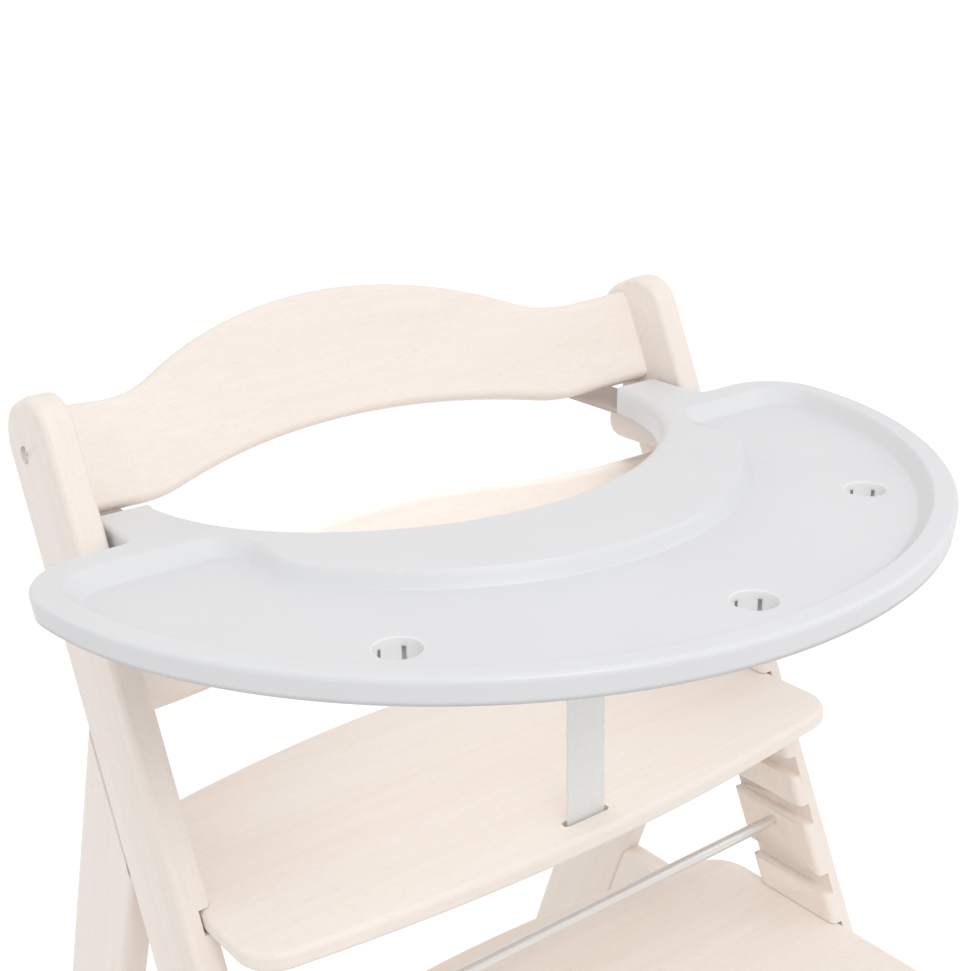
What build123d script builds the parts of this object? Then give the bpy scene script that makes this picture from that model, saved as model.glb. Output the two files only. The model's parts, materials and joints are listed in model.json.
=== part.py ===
from build123d import *
from math import atan2, cos, degrees, radians, sin, tan
import os

# Millimetres. The origin is on the floor in the middle of the chair, +Z up, the child faces -Y.

# Side frames: a leaning upright, a rear leg mitred against it and a level rail between the two
chair_width = 460.0
chair_depth = 576.0
board = 18.0
board_round = 4.0
upright_lean = 24.56
upright_width = 62.0
upright_head = 6.5
upright_top_radius = 24.0
rear_leg_lean = 20.4
rear_leg_width = 64.0
rail_top = 334.0
rail_height = 52.0
glide_height = 3.0
glide_length = 50.0
glide_width = 14.0

# Grooves that carry the two plates, given by the height of the groove's floor
groove_depth = 8.0
groove_headroom = 0.5
seat_groove = 532.0
first_pair_drop = 55.5
pair_gap = 31.0
pair_pitch = 76.0
pair_count = 2
footrest_pair = 1

# Seat and footrest plates
plate_thickness = 12.0
plate_round = 4.0
plate_side_play = 1.0
plate_front_bow = 18.0
plate_rear_bow = 29.0
plate_front_corner = 24.0
plate_rear_corner = 30.0
seat_front = -116.0
seat_rear = 89.0
footrest_front = -235.0
footrest_rear = 25.0

# Bent backrests, measured along the uprights from their feet
backrest_thickness = 16.0
backrest_round = 5.0
backrest_inset = 30.0
backrest_bend = 43.0
backrest_end_height = 62.5
upper_backrest_base = 815.0
upper_top_hump = 45.8
upper_top_half_width = 178.0
upper_top_crest_share = 0.76
upper_bottom_hump = 24.3
upper_bottom_half_width = 165.0
upper_bottom_crest_share = 0.84
backrest_pitch = 114.5
lower_hump = 15.3
lower_half_width = 185.0
lower_crest_share = 0.45

# Front bar: a bentwood bow between the uprights, under the tray
bar_thickness = 16.0
bar_height = 24.0
bar_round = 5.0
bar_gap = 1.5
bar_rear = 103.0
bar_leg_front = 39.0
bar_side_radius = 100.0
bar_side_turn = 60.0
bar_end_radius = 11.0

# Tie rods and the lower stretcher
rod_diameter = 8.0
rod_stud_diameter = 6.0
rod_taper = 12.0
rod_height = 437.0
stretcher_height = 60.0
stretcher_base = 100.0

# Fasteners
screw_head_diameter = 10.0
screw_head_length = 4.0
screw_recess = 2.0
screw_diameter = 6.0
screw_hex = 5.0
screw_hex_depth = 2.5
hole_clearance = 0.2
fit_clearance = 0.05
backrest_screw_depth = 40.0
backrest_screw_bite = 16.0
upper_screw_rise = 40.0
lower_screw_rise = 54.0
backrest_dowel_rise = 18.0
backrest_dowel_length = 22.0
backrest_dowel_diameter = 6.0
dowel_diameter = 8.0
dowel_length = 40.0
leg_dowel_heights = (562.0, 584.0)
rail_dowel_inset = 13.0
bar_bolt_spacing = 32.0
bar_bolt_bite = 12.0
insert_diameter = 9.0
stretcher_bolt_spacing = 30.0
stretcher_bolt_bite = 36.0
barrel_nut_diameter = 10.0
barrel_nut_length = 14.0
nut_sleeve_diameter = 9.0
nut_sleeve_length = 8.0

# Tray: a thin moulding with a rim, a sunk play surface and a raised band round the child
tray_lift = 13.0
tray_rim_rise = 9.5
tray_skirt = 10.0
tray_edge_lift = 5.5
tray_wall = 3.0
tray_centre = -5.0
tray_half_width = 278.0
tray_half_depth = 265.5
tray_side_tightening = 26.0
tray_draft = 2.0
tray_corner = 40.0
tray_edge_round = 3.0
wing_rear = 24.0
belly_centre = 123.3
belly_radius = 193.0
belly_turn = 44.0
arm_inner = 174.0
arm_outer = 205.0
arm_rear = 71.0
arm_corner = 8.0
tongue_rear = 127.0
tongue_thickness = 4.0
tongue_round = 8.0
rim_width = 12.0
pocket_side_slope = 4.0
pocket_rear_slope = 10.0
pocket_rear = -3.5
pocket_corner = 20.0
band_centre = 42.0
band_radius = 191.0
band_slope = 7.0
band_side = 160.0
band_side_round = 40.0
socket_diameter = 24.0
socket_wall = 2.5
socket_depth = 18.0
socket_slot_width = 2.2
socket_slot_top = 4.5
socket_slots = 6
socket_front = -222.0
socket_side = 163.0
socket_side_y = -155.0
collar_gap = 3.0
collar_wall = 2.5
rib_thickness = 2.5
rib_drop = 1.5
rib_angles = (15.0, 30.0, 82.0)
clip_angle = 20.0
clip_length = 34.0
clip_wall = 4.0
clip_play = 2.0
clip_grip = 14.0
clip_base = 6.0
clip_seat_gap = 0.3
clip_screw_spacing = 20.0
clip_screw_diameter = 3.5
clip_screw_head = 7.0
clip_screw_head_length = 2.0
clip_screw_bite = 8.0
boss_diameter = 9.0

# Crotch strap
strap_width = 28.0
strap_thickness = 2.0
strap_gap = 0.3
strap_bow_gap = 0.8
strap_slot_play = 2.0
anchor_diameter = 6.0
anchor_length = 44.0

lean = radians(upright_lean)
rear_lean = radians(rear_leg_lean)
outer_face = chair_width / 2
inner_face = outer_face - board
board_middle = outer_face - board / 2
screw_seat = outer_face - screw_recess - screw_head_length
groove_height = plate_thickness + groove_headroom
upright_length = upper_backrest_base + backrest_end_height + upright_head
lower_backrest_base = upper_backrest_base - backrest_pitch
reach = 2 * max(chair_depth, upright_length)
upright_frame = Location((0, -chair_depth / 2, glide_height), (-upright_lean, 0, 0))
rear_leg_frame = Location((0, chair_depth / 2, glide_height), (rear_leg_lean, 0, 0))
os.makedirs("parts", exist_ok=True)


def upright_y(z, depth=0.0):
    """Y of the line that runs depth behind the upright's front edge, at height z."""
    return -chair_depth / 2 + (z - glide_height) * tan(lean) + depth / cos(lean)


def rear_leg_y(z, depth=0.0):
    """Y of the line that runs depth in front of the rear leg's rear edge, at height z."""
    return chair_depth / 2 - (z - glide_height) * tan(rear_lean) - depth / cos(rear_lean)


def on_frame(frame, depth, rise):
    """Y and Z of a point of a leaning board, from its depth and its rise along the board."""
    point = (frame * Pos(0, depth, rise)).position
    return point.Y, point.Z


def rod_x(radius, x0, x1, place):
    """A round bar or bore along X at a place given by its Y and Z."""
    return Pos((x0 + x1) / 2, *place) * Rot(0, 90, 0) * Cylinder(radius, abs(x1 - x0))


def rod_z(radius, z0, z1):
    """A round bar or bore along Z."""
    return Pos(0, 0, (z0 + z1) / 2) * Cylinder(radius, z1 - z0)


def block(x, y, z):
    """A box from its three (low, high) pairs."""
    spans = (x, y, z)
    middle = [(low + high) / 2 for low, high in spans]
    return Pos(*middle) * Box(*[high - low for low, high in spans])


def both_sides(solids):
    """The right-hand solids and their mirror images, as separate solids."""
    return [*solids, *[mirror(solid, about=Plane.YZ) for solid in solids]]


def put(name, shape):
    """Writes one node. A list is a group of equal pieces."""
    if isinstance(shape, list):
        shape = Compound([solid for piece in shape for solid in piece.solids()])
    export_step(shape, f"parts/{name}.step")


def put_pair(name, right_solid):
    """Writes a right-hand piece and its mirror image."""
    put(f"right_{name}", right_solid)
    put(f"left_{name}", mirror(right_solid, about=Plane.YZ))


def headed_screw(place, tip):
    """A screw along X with a recessed flat head and a hex socket, its thread running in to tip."""
    top = outer_face - screw_recess
    screw = rod_x(screw_head_diameter / 2, screw_seat, top, place)
    screw += rod_x(screw_diameter / 2, tip, screw_seat, place)
    socket = extrude(RegularPolygon(screw_hex / 2, 6, major_radius=False), screw_hex_depth)
    return screw - Pos(top - screw_hex_depth, *place) * Rot(0, 90, 0) * socket


def screw_hole(place):
    """The stepped hole for a headed screw through a side board."""
    hole = rod_x(screw_head_diameter / 2 + hole_clearance, screw_seat, outer_face + 1, place)
    return hole + rod_x(screw_diameter / 2 + hole_clearance, inner_face - 1, screw_seat, place)


def side_board(outline):
    """A side-frame board from its outline in the YZ plane, with rounded long edges."""
    blank = extrude(Plane.YZ * outline, board)
    faces = blank.faces().sort_by(Axis.X)
    return Pos(inner_face, 0, 0) * fillet(faces[0].edges() + faces[-1].edges(), board_round)


# Places shared by the boards and what is fixed to them
groove_floors = [seat_groove]
for pair in range(pair_count):
    upper_groove = seat_groove - first_pair_drop - pair * pair_pitch
    groove_floors += [upper_groove, upper_groove - pair_gap]
footrest_groove = groove_floors[2 + 2 * footrest_pair]
rod_places = []
for z in (rod_height, rod_height - pair_pitch):
    rod_places.append((upright_y(z, upright_width / 2), z))
backrest_screw_places = []
backrest_dowel_places = []
screw_rises = ((upper_backrest_base, upper_screw_rise), (lower_backrest_base, lower_screw_rise))
for base, screw_rise in screw_rises:
    screw_place = on_frame(upright_frame, backrest_screw_depth, base + screw_rise)
    dowel_place = on_frame(upright_frame, backrest_screw_depth, base + backrest_dowel_rise)
    backrest_screw_places.append(screw_place)
    backrest_dowel_places.append(dowel_place)
lower_backrest_top = on_frame(upright_frame, backrest_inset, lower_backrest_base + backrest_end_height)
bar_top = lower_backrest_top[1] + bar_gap + bar_height
bar_middle = bar_top - bar_height / 2
bar_bolt_places = []
stretcher_bolt_places = []
for step in (-0.5, 0.5):
    bolt_y = upright_y(bar_middle, upright_width / 2) + step * bar_bolt_spacing
    bar_bolt_places.append((bolt_y, bar_middle))
    rise = stretcher_base + stretcher_height / 2 + step * stretcher_bolt_spacing
    stretcher_bolt_places.append(on_frame(rear_leg_frame, -rear_leg_width / 2, rise))

# Dowels of the side frames, each half in one board and half in the other
dowel_places = []
for z in leg_dowel_heights:
    joint_rise = (z - glide_height + upright_width * sin(lean)) / cos(lean)
    dowel_places.append(upright_frame * Pos(board_middle, upright_width, joint_rise) * Rot(90, 0, 0))
for z in (rail_top - rail_dowel_inset, rail_top - rail_height + rail_dowel_inset):
    for y in (upright_y(z, upright_width), rear_leg_y(z, rear_leg_width)):
        dowel_places.append(Pos(board_middle, y, z) * Rot(90, 0, 0))
dowel = Cylinder(dowel_diameter / 2, dowel_length)
dowel_hole = Cylinder(dowel_diameter / 2 + fit_clearance, dowel_length + 2)
dowel_holes = [place * dowel_hole for place in dowel_places]
put("frame_dowels", both_sides([place * dowel for place in dowel_places]))

# Uprights with their grooves
below_feet = block((-reach, reach), (-reach, reach), (-reach, glide_height))
outline = Pos(upright_width / 2, (upright_length - board) / 2)
outline *= Rectangle(upright_width, upright_length + board)
outline = fillet(outline.vertices().group_by(Axis.Y)[-1], upright_top_radius)
upright = upright_frame * side_board(outline) - below_feet
grooves = []
for floor in groove_floors:
    groove_x = (inner_face - 1, inner_face + groove_depth)
    grooves.append(block(groove_x, (-reach, reach), (floor, floor + groove_height)))
upright -= grooves
upright -= [screw_hole(place) for place in backrest_screw_places + bar_bolt_places]
dowel_end = inner_face + backrest_dowel_length / 2
dowel_bore = backrest_dowel_diameter / 2 + fit_clearance
for place in backrest_dowel_places:
    upright -= rod_x(dowel_bore, inner_face - 1, dowel_end + 1, place)
sleeve_end = screw_seat - nut_sleeve_length
for place in rod_places:
    upright -= rod_x(screw_head_diameter / 2 + hole_clearance, screw_seat, outer_face + 1, place)
    upright -= rod_x(nut_sleeve_diameter / 2 + hole_clearance, sleeve_end, screw_seat, place)
    upright -= rod_x(rod_stud_diameter / 2 + hole_clearance, inner_face - 1, sleeve_end, place)
put_pair("upright", upright - dowel_holes)

# Rear legs, mitred against the back of the uprights
leg_length = upright_length * cos(lean) / cos(rear_lean)
outline = Pos(-rear_leg_width / 2, (leg_length - board) / 2)
outline *= Rectangle(rear_leg_width, leg_length + board)
upright_side = upright_frame * block((-reach, reach), (-reach, upright_width), (-reach, reach))
rear_leg = rear_leg_frame * side_board(outline) - below_feet - upright_side
rear_leg -= [grooves[0], *dowel_holes]
put_pair("rear_leg", rear_leg - [screw_hole(place) for place in stretcher_bolt_places])

# Side rails between uprights and rear legs
outline = Pos(0, rail_top - rail_height / 2) * Rectangle(chair_depth, rail_height)
leg_side = rear_leg_frame * block((-reach, reach), (-rear_leg_width, reach), (-reach, reach))
put_pair("side_rail", side_board(outline) - upright_side - leg_side - dowel_holes)

# Floor glides under the four feet
glide = extrude(Rot(0, 0, 90) * SlotOverall(glide_length, glide_width), glide_height)
front_glide = Pos(board_middle, upright_y(glide_height, upright_width / 2), 0) * glide
rear_glide = Pos(board_middle, rear_leg_y(glide_height, rear_leg_width / 2), 0) * glide
put("floor_glides", both_sides([front_glide, rear_glide]))


def wave(base, hump, half_width, crest_share):
    """A board edge that rises from level ends over two hollow arcs to one long crest arc."""
    end = (half_width, base)
    turn = (half_width * crest_share, base + hump * (1 - crest_share))
    hollow = TangentArc(end, turn, tangent=(-1, 0))
    crest = ThreePointArc(turn, (0, base + hump), (-turn[0], turn[1]))
    level = Line((inner_face, base), end)
    half = [level, hollow]
    return [crest, *half, *[mirror(edge, about=Plane.YZ) for edge in half]]


def backrest(base, top_wave, bottom_wave):
    """A wavy board, bent round the child's back and screwed between the uprights."""
    bend_radius = (inner_face**2 + backrest_bend**2) / (2 * backrest_bend)
    bend_centre = backrest_inset + backrest_bend - bend_radius
    plan = Circle(bend_radius + backrest_thickness) - Circle(bend_radius)
    plan &= Pos(0, bend_radius) * Rectangle(2 * inner_face, 2 * bend_radius)
    top = base + backrest_end_height
    ends = [Line((x, base), (x, top)) for x in (-inner_face, inner_face)]
    edges = wave(top, *top_wave) + wave(base, *bottom_wave) + ends
    elevation = extrude(Plane.XZ * make_face(Curve() + edges), reach, both=True)
    bent = extrude(Pos(0, bend_centre) * plan, reach) & elevation
    long_edges = bent.edges().filter_by(lambda edge: abs(edge.center().X) < inner_face - 1)
    bent = upright_frame * fillet(long_edges, backrest_round)
    for place in backrest_screw_places:
        pilot_end = inner_face - backrest_screw_bite - 1
        pilot = rod_x(screw_diameter / 2 + fit_clearance, pilot_end, inner_face + 1, place)
        bent -= both_sides([pilot])
    for place in backrest_dowel_places:
        bore_end = inner_face - backrest_dowel_length / 2 - 1
        bent -= both_sides([rod_x(dowel_bore, bore_end, inner_face + 1, place)])
    return bent


# Backrests, their screws and dowels
upper_top = (upper_top_hump, upper_top_half_width, upper_top_crest_share)
upper_bottom = (upper_bottom_hump, upper_bottom_half_width, upper_bottom_crest_share)
lower_edge = (lower_hump, lower_half_width, lower_crest_share)
put("upper_backrest", backrest(upper_backrest_base, upper_top, upper_bottom))
put("lower_backrest", backrest(lower_backrest_base, lower_edge, lower_edge))
screw_tip = inner_face - backrest_screw_bite
screws = [headed_screw(place, screw_tip) for place in backrest_screw_places]
put("backrest_screws", both_sides(screws))
dowel_start = inner_face - backrest_dowel_length / 2
pins = []
for place in backrest_dowel_places:
    pins.append(rod_x(backrest_dowel_diameter / 2, dowel_start, dowel_end, place))
put("backrest_dowels", both_sides(pins))

# Front bar: two straight legs, two tight bends and one wide front bend, all tangent
bar_leg_x = inner_face - bar_thickness / 2
bar_side_centre = bar_leg_x - bar_side_radius
turn = radians(bar_side_turn)
bar_front_radius = bar_side_radius + bar_side_centre / cos(turn)
bar_front_centre = bar_leg_front + bar_side_centre * tan(turn)
bar_front_y = bar_front_centre - bar_front_radius


def bow_area(offset):
    """The plan inside a line that runs offset outside the middle of the bar."""
    leg = bar_leg_x + offset
    side = bar_side_radius + offset
    front = bar_front_radius + offset
    right_bend = CenterArc((bar_side_centre, bar_leg_front), side, 0, -bar_side_turn)
    front_bend = CenterArc((0, bar_front_centre), front, -bar_side_turn, 2 * bar_side_turn - 180)
    left_bend = CenterArc((-bar_side_centre, bar_leg_front), side, bar_side_turn - 180, -bar_side_turn)
    right_leg = Line((leg, bar_rear), (leg, bar_leg_front))
    left_leg = Line((-leg, bar_leg_front), (-leg, bar_rear))
    closing = Line((-leg, bar_rear), (leg, bar_rear))
    return make_face(Curve() + [right_leg, right_bend, front_bend, left_bend, left_leg, closing])


bow_plan = bow_area(bar_thickness / 2) - bow_area(-bar_thickness / 2)
front_bar = Pos(0, 0, bar_top - bar_height) * extrude(bow_plan, bar_height)
end_edges = front_bar.edges().filter_by(Axis.X).filter_by(lambda edge: edge.center().Y > bar_rear - 1)
front_bar = fillet(end_edges, bar_end_radius)
long_edges = front_bar.edges().filter_by(lambda edge: edge.length > 2 * bar_thickness)
front_bar = fillet(long_edges, bar_round)
insert_start = inner_face - bar_bolt_bite
for place in bar_bolt_places:
    insert_bore = rod_x(insert_diameter / 2 + fit_clearance, insert_start - 1, inner_face + 1, place)
    front_bar -= both_sides([insert_bore])
put("front_bar", front_bar)
bolts = [headed_screw(place, insert_start) for place in bar_bolt_places]
put("front_bar_bolts", both_sides(bolts))
inserts = []
for place in bar_bolt_places:
    insert = rod_x(insert_diameter / 2, insert_start, inner_face, place)
    thread = rod_x(screw_diameter / 2 + fit_clearance, insert_start - 1, inner_face + 1, place)
    inserts.append(insert - thread)
put("front_bar_insert_nuts", both_sides(inserts))

# Tie rods with their sleeve nuts
stud_end = screw_seat - 1
for name, place in zip(("upper", "lower"), rod_places):
    rod = rod_x(rod_diameter / 2, -inner_face + rod_taper, inner_face - rod_taper, place)
    rod += rod_x(rod_stud_diameter / 2, -stud_end, stud_end, place)
    taper = Cone(rod_diameter / 2, rod_stud_diameter / 2 + 0.5, rod_taper)
    taper = Pos(inner_face - rod_taper / 2, *place) * Rot(0, 90, 0) * taper
    put(f"{name}_tie_rod", rod + both_sides([taper]))
nuts = []
for place in rod_places:
    nut = rod_x(screw_head_diameter / 2, screw_seat, outer_face - screw_recess, place)
    nut += rod_x(nut_sleeve_diameter / 2, sleeve_end, screw_seat, place)
    socket = extrude(RegularPolygon(screw_hex / 2, 6, major_radius=False), screw_hex_depth)
    nut -= Pos(outer_face - screw_recess - screw_hex_depth, *place) * Rot(0, 90, 0) * socket
    nuts.append(nut - rod_x(rod_stud_diameter / 2 + fit_clearance, sleeve_end - 1, screw_seat, place))
put("tie_rod_nuts", both_sides(nuts))

# Rear stretcher low between the rear legs
stretcher_y = (-(rear_leg_width + board) / 2, -(rear_leg_width - board) / 2)
stretcher_z = (stretcher_base, stretcher_base + stretcher_height)
stretcher = block((-inner_face, inner_face), stretcher_y, stretcher_z)
stretcher = rear_leg_frame * fillet(stretcher.edges().filter_by(Axis.X), board_round)
bolt_tip = inner_face - stretcher_bolt_bite
nut_x = inner_face - stretcher_bolt_bite + barrel_nut_diameter / 2
nut_places = []
for step in (-0.5, 0.5):
    rise = stretcher_base + stretcher_height / 2 + step * stretcher_bolt_spacing
    nut_places.append(rear_leg_frame * Pos(nut_x, -rear_leg_width / 2, rise) * Rot(90, 0, 0))
bolt_bores = []
for place in stretcher_bolt_places:
    bolt_bores.append(rod_x(screw_diameter / 2 + hole_clearance, bolt_tip - 1, inner_face + 1, place))
nut_bore = Cylinder(barrel_nut_diameter / 2 + hole_clearance, 2 * board)
put("rear_stretcher", stretcher - both_sides(bolt_bores + [place * nut_bore for place in nut_places]))
stretcher_bolts = [headed_screw(place, bolt_tip) for place in stretcher_bolt_places]
put("stretcher_bolts", both_sides(stretcher_bolts))
barrel_nuts = []
for nut_place, bolt_place in zip(nut_places, stretcher_bolt_places):
    nut = nut_place * Cylinder(barrel_nut_diameter / 2, barrel_nut_length)
    thread = rod_x(screw_diameter / 2 + fit_clearance, bolt_tip - board, inner_face, bolt_place)
    barrel_nuts.append(nut - thread)
put("stretcher_barrel_nuts", both_sides(barrel_nuts))


def plate(front, rear, floor):
    """A shelf plate with bowed front and rear edges, wide enough to run in the grooves."""
    half = inner_face + groove_depth - plate_side_play
    front_corner = front + plate_front_bow
    rear_corner = rear - plate_rear_bow
    front_edge = ThreePointArc((-half, front_corner), (0, front), (half, front_corner))
    rear_edge = ThreePointArc((-half, rear_corner), (0, rear), (half, rear_corner))
    side_edges = [Line((x, front_corner), (x, rear_corner)) for x in (-half, half)]
    shape = make_face(Curve() + [front_edge, rear_edge, *side_edges])
    corners = shape.vertices().group_by(Axis.Y)
    shape = fillet(corners[0], plate_front_corner)
    shape = fillet(shape.vertices().group_by(Axis.Y)[-1], plate_rear_corner)
    solid = extrude(shape, plate_thickness)
    faces = solid.faces().sort_by(Axis.Z)
    return Pos(0, 0, floor) * fillet(faces[0].edges() + faces[-1].edges(), plate_round)


# Seat with its strap slot, and footrest
strap_front = bar_front_y - bar_thickness / 2 - strap_bow_gap - strap_thickness
strap_middle = strap_front + strap_thickness / 2
seat = plate(seat_front, seat_rear, seat_groove)
slot_width = strap_thickness + 2 * strap_slot_play
slot = SlotOverall(strap_width + slot_width, slot_width)
seat -= Pos(0, strap_middle, seat_groove - 1) * extrude(slot, plate_thickness + 2)
put("seat_plate", seat)
put("footrest_plate", plate(footrest_front, footrest_rear, footrest_groove))

# Crotch strap: a loop round the bar, down through the seat to a loop round its anchor
anchor_loop = anchor_diameter / 2 + strap_gap + strap_thickness
anchor_z = seat_groove - strap_gap - anchor_loop
loop_width = bar_thickness + 2 * strap_bow_gap
loop_height = bar_height + 2 * strap_gap
bar_loop = Pos(bar_front_y, bar_middle)
strap = bar_loop * RectangleRounded(
    loop_width + 2 * strap_thickness, loop_height + 2 * strap_thickness, bar_round + strap_thickness
)
strap += Pos(strap_middle, (bar_middle + anchor_z) / 2) * Rectangle(strap_thickness, bar_middle - anchor_z)
strap += Pos(strap_middle, anchor_z) * Circle(anchor_loop)
strap -= bar_loop * RectangleRounded(loop_width, loop_height, bar_round)
strap -= Pos(strap_middle, anchor_z) * Circle(anchor_diameter / 2 + strap_gap)
put("crotch_strap", extrude(Plane.YZ * strap, strap_width / 2, both=True))
anchor_place = (strap_middle, anchor_z)
put("strap_anchor", rod_x(anchor_diameter / 2, -anchor_length / 2, anchor_length / 2, anchor_place))

# Tray outline: a three-arc oval cut off behind, hollowed for the child, with an arm beside each upright
tray_floor = bar_top + tray_lift
tray_rim = tray_floor + tray_rim_rise
tray_bottom = tray_floor - tray_skirt
tray_height = tray_rim - tray_bottom
rim_underside = tray_rim - tray_wall
floor_underside = tray_floor - tray_wall
tray_side_radius = tray_half_depth - tray_side_tightening
side_offset = tray_half_width - tray_side_radius
front_offset = (side_offset**2 + tray_half_depth**2 - tray_side_radius**2) / 2
front_offset = front_offset / (tray_half_depth - tray_side_radius) - tray_half_depth
front_turn = degrees(atan2(front_offset, side_offset))


def oval(inset, rear):
    """A three-arc oval cut off straight behind, drawn inset inside the rim's outer edge."""
    side = tray_side_radius - inset
    front = tray_half_depth + front_offset - inset
    right = CenterArc((side_offset, tray_centre), side, -front_turn, front_turn + 90)
    left = mirror(right, about=Plane.YZ)
    middle = CenterArc((0, tray_centre + front_offset), front, -front_turn, 2 * front_turn - 180)
    back = Line(right @ 1, left @ 1)
    area = make_face(Curve() + [right, middle, left, back])
    return area & Pos(0, rear - reach / 2) * Rectangle(reach, reach)


def skin_area(z, wall):
    """The tray's plan at a height, wall inside the drafted skin."""
    inset = tray_draft * (tray_rim - z) / tray_height + wall
    area = oval(inset, wing_rear - inset)
    corners = area.vertices().group_by(Axis.Y)[-1]
    return Pos(0, 0, z) * fillet(corners, tray_corner - inset)


def pocket_area(rise, wall):
    """The sunk play surface's plan at a share of its rise, drawn wall outside it."""
    inset = band_slope * rise + wall
    band = Pos(0, band_centre) * Circle(band_radius - inset)
    band &= Pos(0, band_centre - reach / 2) * Rectangle(2 * (band_side - inset), reach)
    band = fillet(band.vertices().group_by(Axis.Y)[0], band_side_round - inset)
    rim_inset = rim_width + pocket_side_slope * (1 - rise) - wall
    area = oval(rim_inset, pocket_rear + pocket_rear_slope * rise + wall) - band
    return fillet(area.vertices().group_by(Axis.Y)[-1], pocket_corner + inset)


belly_end = belly_centre - belly_radius * cos(radians(belly_turn))
belly_side = belly_radius * sin(radians(belly_turn))
arm_start = (belly_side, belly_end)
belly_arc = ThreePointArc((-belly_side, belly_end), (0, belly_centre - belly_radius), arm_start)
flare_way = (cos(radians(belly_turn)), sin(radians(belly_turn)))
arm_flare = TangentArc(arm_start, (arm_inner, arm_rear), tangent=flare_way)
arm_line = Line((arm_inner, arm_rear), (arm_inner, tongue_rear))
half = [arm_flare, arm_line]
behind = Line((arm_inner, tongue_rear), (-arm_inner, tongue_rear))
belly = make_face(Curve() + [belly_arc, behind, *half, *[mirror(edge, about=Plane.YZ) for edge in half]])
arm_plan = Pos((belly_side + arm_outer) / 2, (belly_end + arm_rear) / 2)
arm_plan *= Rectangle(arm_outer - belly_side, arm_rear - belly_end)
arm_plan = fillet(arm_plan.vertices().group_by(Axis.Y)[-1].sort_by(Axis.X)[-1], arm_corner)

# Tray skin: a drafted body with a hollow for the child, two arms and a sunk play surface
belly_space = Pos(0, 0, tray_bottom) * extrude(belly, tray_height)
arm = Pos(0, 0, tray_bottom) * extrude(arm_plan, tray_height)
tray = loft([skin_area(tray_bottom, 0), skin_area(tray_rim, 0)], ruled=True)
tray = tray + both_sides([arm]) - belly_space
rim_edges = tray.edges().filter_by(lambda edge: abs(edge.center().Z - tray_rim) < 0.01)
tray = fillet(rim_edges, tray_edge_round)
pocket_floor = Pos(0, 0, tray_floor) * pocket_area(0, 0)
pocket_mouth = Pos(0, 0, tray_rim) * pocket_area(1, 0)
tray -= loft([pocket_floor, pocket_mouth], ruled=True)


# Underside: one hollow that follows the skin, the belly wall and the sunk surface
def belly_side_wall(wall):
    """The belly space and a wall of some thickness round it."""
    return Pos(0, 0, tray_bottom) * extrude(offset(belly, wall), tray_height)


def under_skin(wall):
    """The room under the tray, a wall's thickness inside every outer face of it."""
    top = tray_rim - wall
    room = loft([skin_area(tray_bottom, wall), skin_area(top, wall)], ruled=True)
    arm_room = Pos(0, 0, tray_bottom) * extrude(offset(arm_plan, -wall), tray_height - wall)
    room = room + both_sides([arm_room]) - belly_side_wall(wall)
    sunk_floor = Pos(0, 0, tray_floor - wall) * pocket_area(0, wall)
    sunk_mouth = Pos(0, 0, top) * pocket_area(1, wall)
    return room - loft([sunk_floor, sunk_mouth], ruled=True)


tray -= under_skin(tray_wall)
edge_trim = Pos(0, 0, tray_bottom) * extrude(oval(-1, wing_rear), tray_edge_lift)
tray -= edge_trim - belly_side_wall(tray_wall)

# Stiffening ribs, which end inside the walls, and screw bosses
clip_top = bar_top + clip_seat_gap + clip_base
clip_places = []
for angle in (-clip_angle, clip_angle):
    swing = Pos(0, bar_front_centre, 0) * Rot(0, 0, angle) * Pos(0, -bar_front_radius, 0)
    clip_places.append(swing)
ribs = []
for angle in rib_angles:
    rib_z = (floor_underside - rib_drop, tray_rim)
    rib = block((0, reach), (-rib_thickness / 2, rib_thickness / 2), rib_z)
    ribs.append(Pos(0, tray_centre, 0) * Rot(0, 0, angle - 90) * rib)
bosses = []
for place in clip_places:
    for x in (-clip_screw_spacing / 2, clip_screw_spacing / 2):
        bosses.append(place * Pos(x, 0, 0) * rod_z(boss_diameter / 2, clip_top, rim_underside))
tray += (Part() + both_sides(ribs)) & under_skin(tray_wall / 2)
tray += bosses
tongue_z = (tray_bottom, tray_bottom + tongue_thickness)
tongue = block((arm_inner, arm_outer), (arm_rear - tray_wall, tongue_rear), tongue_z)
tongue = fillet(tongue.edges().filter_by(Axis.Z).group_by(Axis.Y)[-1], tongue_round)
tray += both_sides([tongue])

# Toy sockets: slotted springy cups under three holes in the sunk surface, each inside a collar
socket_places = []
for x, y in ((0, socket_front), (socket_side, socket_side_y), (-socket_side, socket_side_y)):
    socket_places.append(Pos(x, y, 0) * Rot(0, 0, degrees(atan2(y - tray_centre, x))))
cup_radius = socket_diameter / 2 + socket_wall
collar_radius = cup_radius + collar_gap
cup_bottom = tray_floor - socket_depth
cup = rod_z(cup_radius, cup_bottom, tray_floor)
bore = rod_z(socket_diameter / 2, cup_bottom - 1, tray_floor + 1)
collar = rod_z(collar_radius + collar_wall, cup_bottom, floor_underside)
collar -= rod_z(collar_radius, cup_bottom, floor_underside)
slot_y = (-socket_slot_width / 2, socket_slot_width / 2)
slot_z = (cup_bottom - 1, tray_floor - socket_slot_top)
slots = []
for index in range(socket_slots):
    slot = block((0, cup_radius + collar_gap / 2), slot_y, slot_z)
    slots.append(Rot(0, 0, index * 360 / socket_slots) * slot)
for place in socket_places:
    tray += [place * cup, place * collar]
for place in socket_places:
    tray -= [place * cutter for cutter in (bore, *slots)]

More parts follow.
